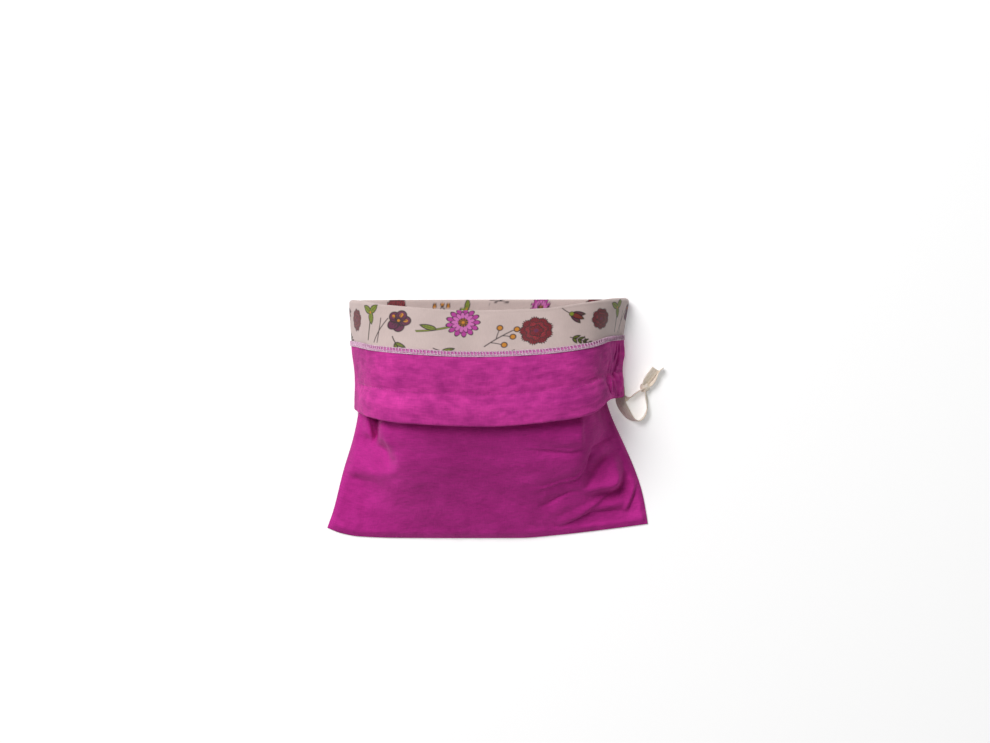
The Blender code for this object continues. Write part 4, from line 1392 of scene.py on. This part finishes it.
# The tape: its middle, x, y and z, and how far it leans over from lying flat, in degrees
Stretch = namedtuple("Stretch", "name width points")
LOOP = (
    (131.4, 31.0, 7.4, 4),
    (131.9, 23.0, 7.4, 4),
    (132.6, 16.4, 7.6, 10),
    (136.7, 8.2, 6.6, 28),
    (140.9, 2.3, 5.7, 50),
    (146.0, -1.7, 5.3, 75),
    (151.8, -2.4, 5.1, 90),
    (156.4, 2.0, 5.1, 92),
    (158.9, 9.2, 5.2, 84),
    (158.8, 17.2, 5.2, 72),
    (157.6, 24.4, 5.0, 76),
    (156.6, 30.6, 4.9, 90),
)
SHORT_STRAND = (
    (128.5, 29.0, 4.6, 5),
    (132.0, 22.5, 4.4, 14),
    (137.0, 19.4, 4.8, 50),
    (143.0, 21.2, 5.2, 86),
    (148.5, 25.4, 5.1, 90),
    (156.0, 29.6, 5.0, 90),
)
UPPER_TAIL = (
    (156.2, 31.2, 5.4, 50),
    (158.6, 37.2, 5.8, 34),
    (162.6, 43.0, 6.8, 28),
    (167.2, 49.2, 8.0, 26),
)
LOWER_TAIL = (
    (157.5, 30.5, 5.0, 110),
    (162.9, 33.8, 5.0, 108),
    (167.4, 40.2, 5.2, 104),
    (170.0, 45.6, 5.6, 96),
    (175.0, 50.2, 6.0, 84),
)
STRETCHES = rows_of(
    Stretch,
    ("loop_strand", 9.5, LOOP),
    ("short_strand", 9.5, SHORT_STRAND),
    ("upper_tail", 8.8, UPPER_TAIL),
    ("lower_tail", 7.6, LOWER_TAIL),
)
TAPE_THICK = 0.8
TAPE_STEP = 0.8
TAPE_COLUMNS = 11
TAPE_CUP = 0.35  # how far the tape's middle stands off its edges


def tape_line(stretch):
    """The middle of a stretch of the tape and the way across it, at each step."""
    places = np.array(stretch.points)
    knots = travelled(places[:, :3])
    line = spline(knots, places)
    where = np.linspace(0, knots[-1], round(knots[-1] / TAPE_STEP) + 1)
    middle, lean = line(where)[:, :3], np.radians(line(where)[:, 3])
    run = unit(np.gradient(middle, axis=0))
    level = unit(np.cross(run, (0, 0, 1)))
    upright = np.cross(level, run)
    over = level * np.cos(lean)[:, None] - upright * np.sin(lean)[:, None]
    return where, middle, over, np.cross(over, run)


def add_ribbon(name, middle, over, rise, t, half, material):
    """A piece of the tape from the line of its middle, the way across it and how its columns rise."""
    shares = np.linspace(-1, 1, TAPE_COLUMNS)
    rows = middle[:, None] + over[:, None] * (shares * half)[:, None] + rise(shares)
    flat = np.stack(np.broadcast_arrays(shares * half, t[:, None]), axis=-1)
    return add_cloth(name, [Patch(rows, flat)], material, TAPE_THICK)


def add_tape(stretch, material):
    """One stretch of the tape."""
    where, middle, over, out = tape_line(stretch)

    def cup(shares):
        return out[:, None] * (TAPE_CUP * (1 - shares**2))[:, None]

    return add_ribbon(stretch.name, middle, over, cup, where, stretch.width / 2, material)


KNOT_CENTRE = (156.6, 30.6, 4.9)
KNOT_TURNS = 1.35
KNOT_START = -0.6  # the angle in radians at which its tape begins
KNOT_HALF = 3.5  # half the width of its tape
KNOT_CUP = 0.9  # how far the tape's edges are drawn in
KNOT_TAPE = 30.0


def add_knot(material):
    """The knot: the tape wrapped once round itself and drawn tight."""
    turns = np.linspace(0, 1, 60)
    angle = 2 * math.pi * KNOT_TURNS * turns + KNOT_START
    # A ring that widens as it goes round, and moves on so that the tape passes itself.
    x = (4.3 + 0.6 * turns) * np.cos(angle) * 0.9 + 1.4 * (turns - 0.5)
    y = 1.8 * (turns - 0.5) + np.cos(angle + 0.8)
    z = (3.5 + 0.5 * turns) * np.sin(angle)
    middle = np.array(KNOT_CENTRE) + np.stack([x, y, z], axis=1)
    run = unit(np.gradient(middle, axis=0))
    over = unit(np.cross(run, middle - np.array(KNOT_CENTRE)))
    out = np.cross(over, run)

    def cup(shares):
        return -out[:, None] * (KNOT_CUP * shares**2)[:, None]

    return add_ribbon("knot", middle, over, cup, turns * KNOT_TAPE, KNOT_HALF, material)


# Light, floor and camera


TABLE_HALF = 6.0  # in metres, as are the lamps' places and sizes
TABLE_SHADE = 0.93
TABLE_GLOW = 0.26  # which keeps the table white as in the photograph
SKY = 0.11
LAMPS = (
    ("key", (-1.75, 2.0, 3.62), 2.2, 184.0),
    ("fill", (0.3, -2.1, 2.5), 1.6, 7.0),
)


def add_stage():
    """A white table, the light of the photograph and its camera."""
    mesh = bpy.data.meshes.new("table_top")
    corners = [(x * TABLE_HALF, y * TABLE_HALF, 0) for x, y in ((-1, -1), (1, -1), (1, 1), (-1, 1))]
    mesh.from_pydata(corners, [], [(0, 1, 2, 3)])
    graph = Graph("table_top", Roughness=0.9, Specular_IOR_Level=0.0, Emission_Strength=TABLE_GLOW)
    graph.shader.inputs["Base Color"].default_value = (*[TABLE_SHADE] * 3, 1)
    graph.shader.inputs["Emission Color"].default_value = (1, 1, 1, 1)
    mesh.materials.append(graph.material)
    table = link("table_top", mesh)
    table.location.z = -0.0001

    world = bpy.data.worlds.new("studio")
    world.use_nodes = True
    world.node_tree.nodes["Background"].inputs["Color"].default_value = (1, 1, 1, 1)
    world.node_tree.nodes["Background"].inputs["Strength"].default_value = SKY
    bpy.context.scene.world = world

    for name, place, size, watts in LAMPS:
        lamp = bpy.data.lights.new(name, "AREA")
        lamp.size = size
        lamp.energy = watts
        light = link(name, lamp)
        light.location = place
        light.rotation_euler = (-light.location).to_track_quat("-Z", "Y").to_euler()

    lens = bpy.data.cameras.new("camera")
    lens.sensor_width = SENSOR_WIDTH
    lens.lens = CAMERA_FOCAL_PIXELS / PHOTO_WIDTH * SENSOR_WIDTH
    camera = link("camera", lens)
    camera.location = (CAMERA_X * MM, CAMERA_Y * MM, CAMERA_HEIGHT * MM)
    bpy.context.scene.camera = camera
    bpy.context.scene.view_settings.view_transform = "Standard"


def main():
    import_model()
    add_stage()
    linen = add_linen()
    cotton = add_printed_cotton()
    edging = add_thread("overlock_thread", (0.5, 0.23, 0.39), (0.8, 0.58, 0.71))
    edge_cloth = add_thread("overlocked_edge", (0.45, 0.06, 0.28), (0.62, 0.2, 0.48))
    sewing = add_thread("sewing_thread", (0.4, 0.018, 0.22), (0.52, 0.03, 0.3))
    twill = add_tape_cotton()

    front = add_cloth("front_cloth", [outer_front_patch()], linen, OUTER)
    back = add_cloth("back_cloth", [outer_back_patch()], linen, OUTER)
    inside, turned = lining_front_patches()
    front_lining = add_cloth("front_lining", [inside], cotton, printed=True)
    front_band = add_cloth("front_lining_cuff", [turned], cotton, printed=True)
    back_lining = add_cloth("back_lining", [lining_back_patch()], cotton, printed=True)
    threads = add_tubes("front_overlock", overlock(front_edge, 1.0), edging)
    edge = add_cloth("front_overlocked_edge", [overlock_base(front_edge, 1.0)], edge_cloth)
    stitches = add_tubes("casing_stitches", casing_stitches(), sewing)
    back_threads = add_tubes("back_overlock", overlock(back_edge, FLAT_OVERLOCK), edging)
    seams = add_tubes("seam_thread", seam_threads(), sewing)
    tapes = [add_tape(stretch, twill) for stretch in STRETCHES]
    knot = add_knot(twill)

    for piece, slot, nodes in (
        (front, "outer_cloth", ["outer_front"]),
        (back, "outer_cloth", ["outer_back"]),
        (front_lining, "lining_cloth", ["lining_front"]),
        (front_band, "lining_cloth", []),
        (back_lining, "lining_cloth", ["lining_back"]),
        *((piece, None, []) for piece in (threads, edge, stitches, back_threads, seams)),
        (tapes[0], "cotton_tape", ["drawstring"]),
        *((piece, "cotton_tape", []) for piece in (*tapes[1:], knot)),
    ):
        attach(piece, "root")
        if nodes:
            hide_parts(*nodes)
    _, middle, _, _ = tape_line(STRETCHES[0])


main()
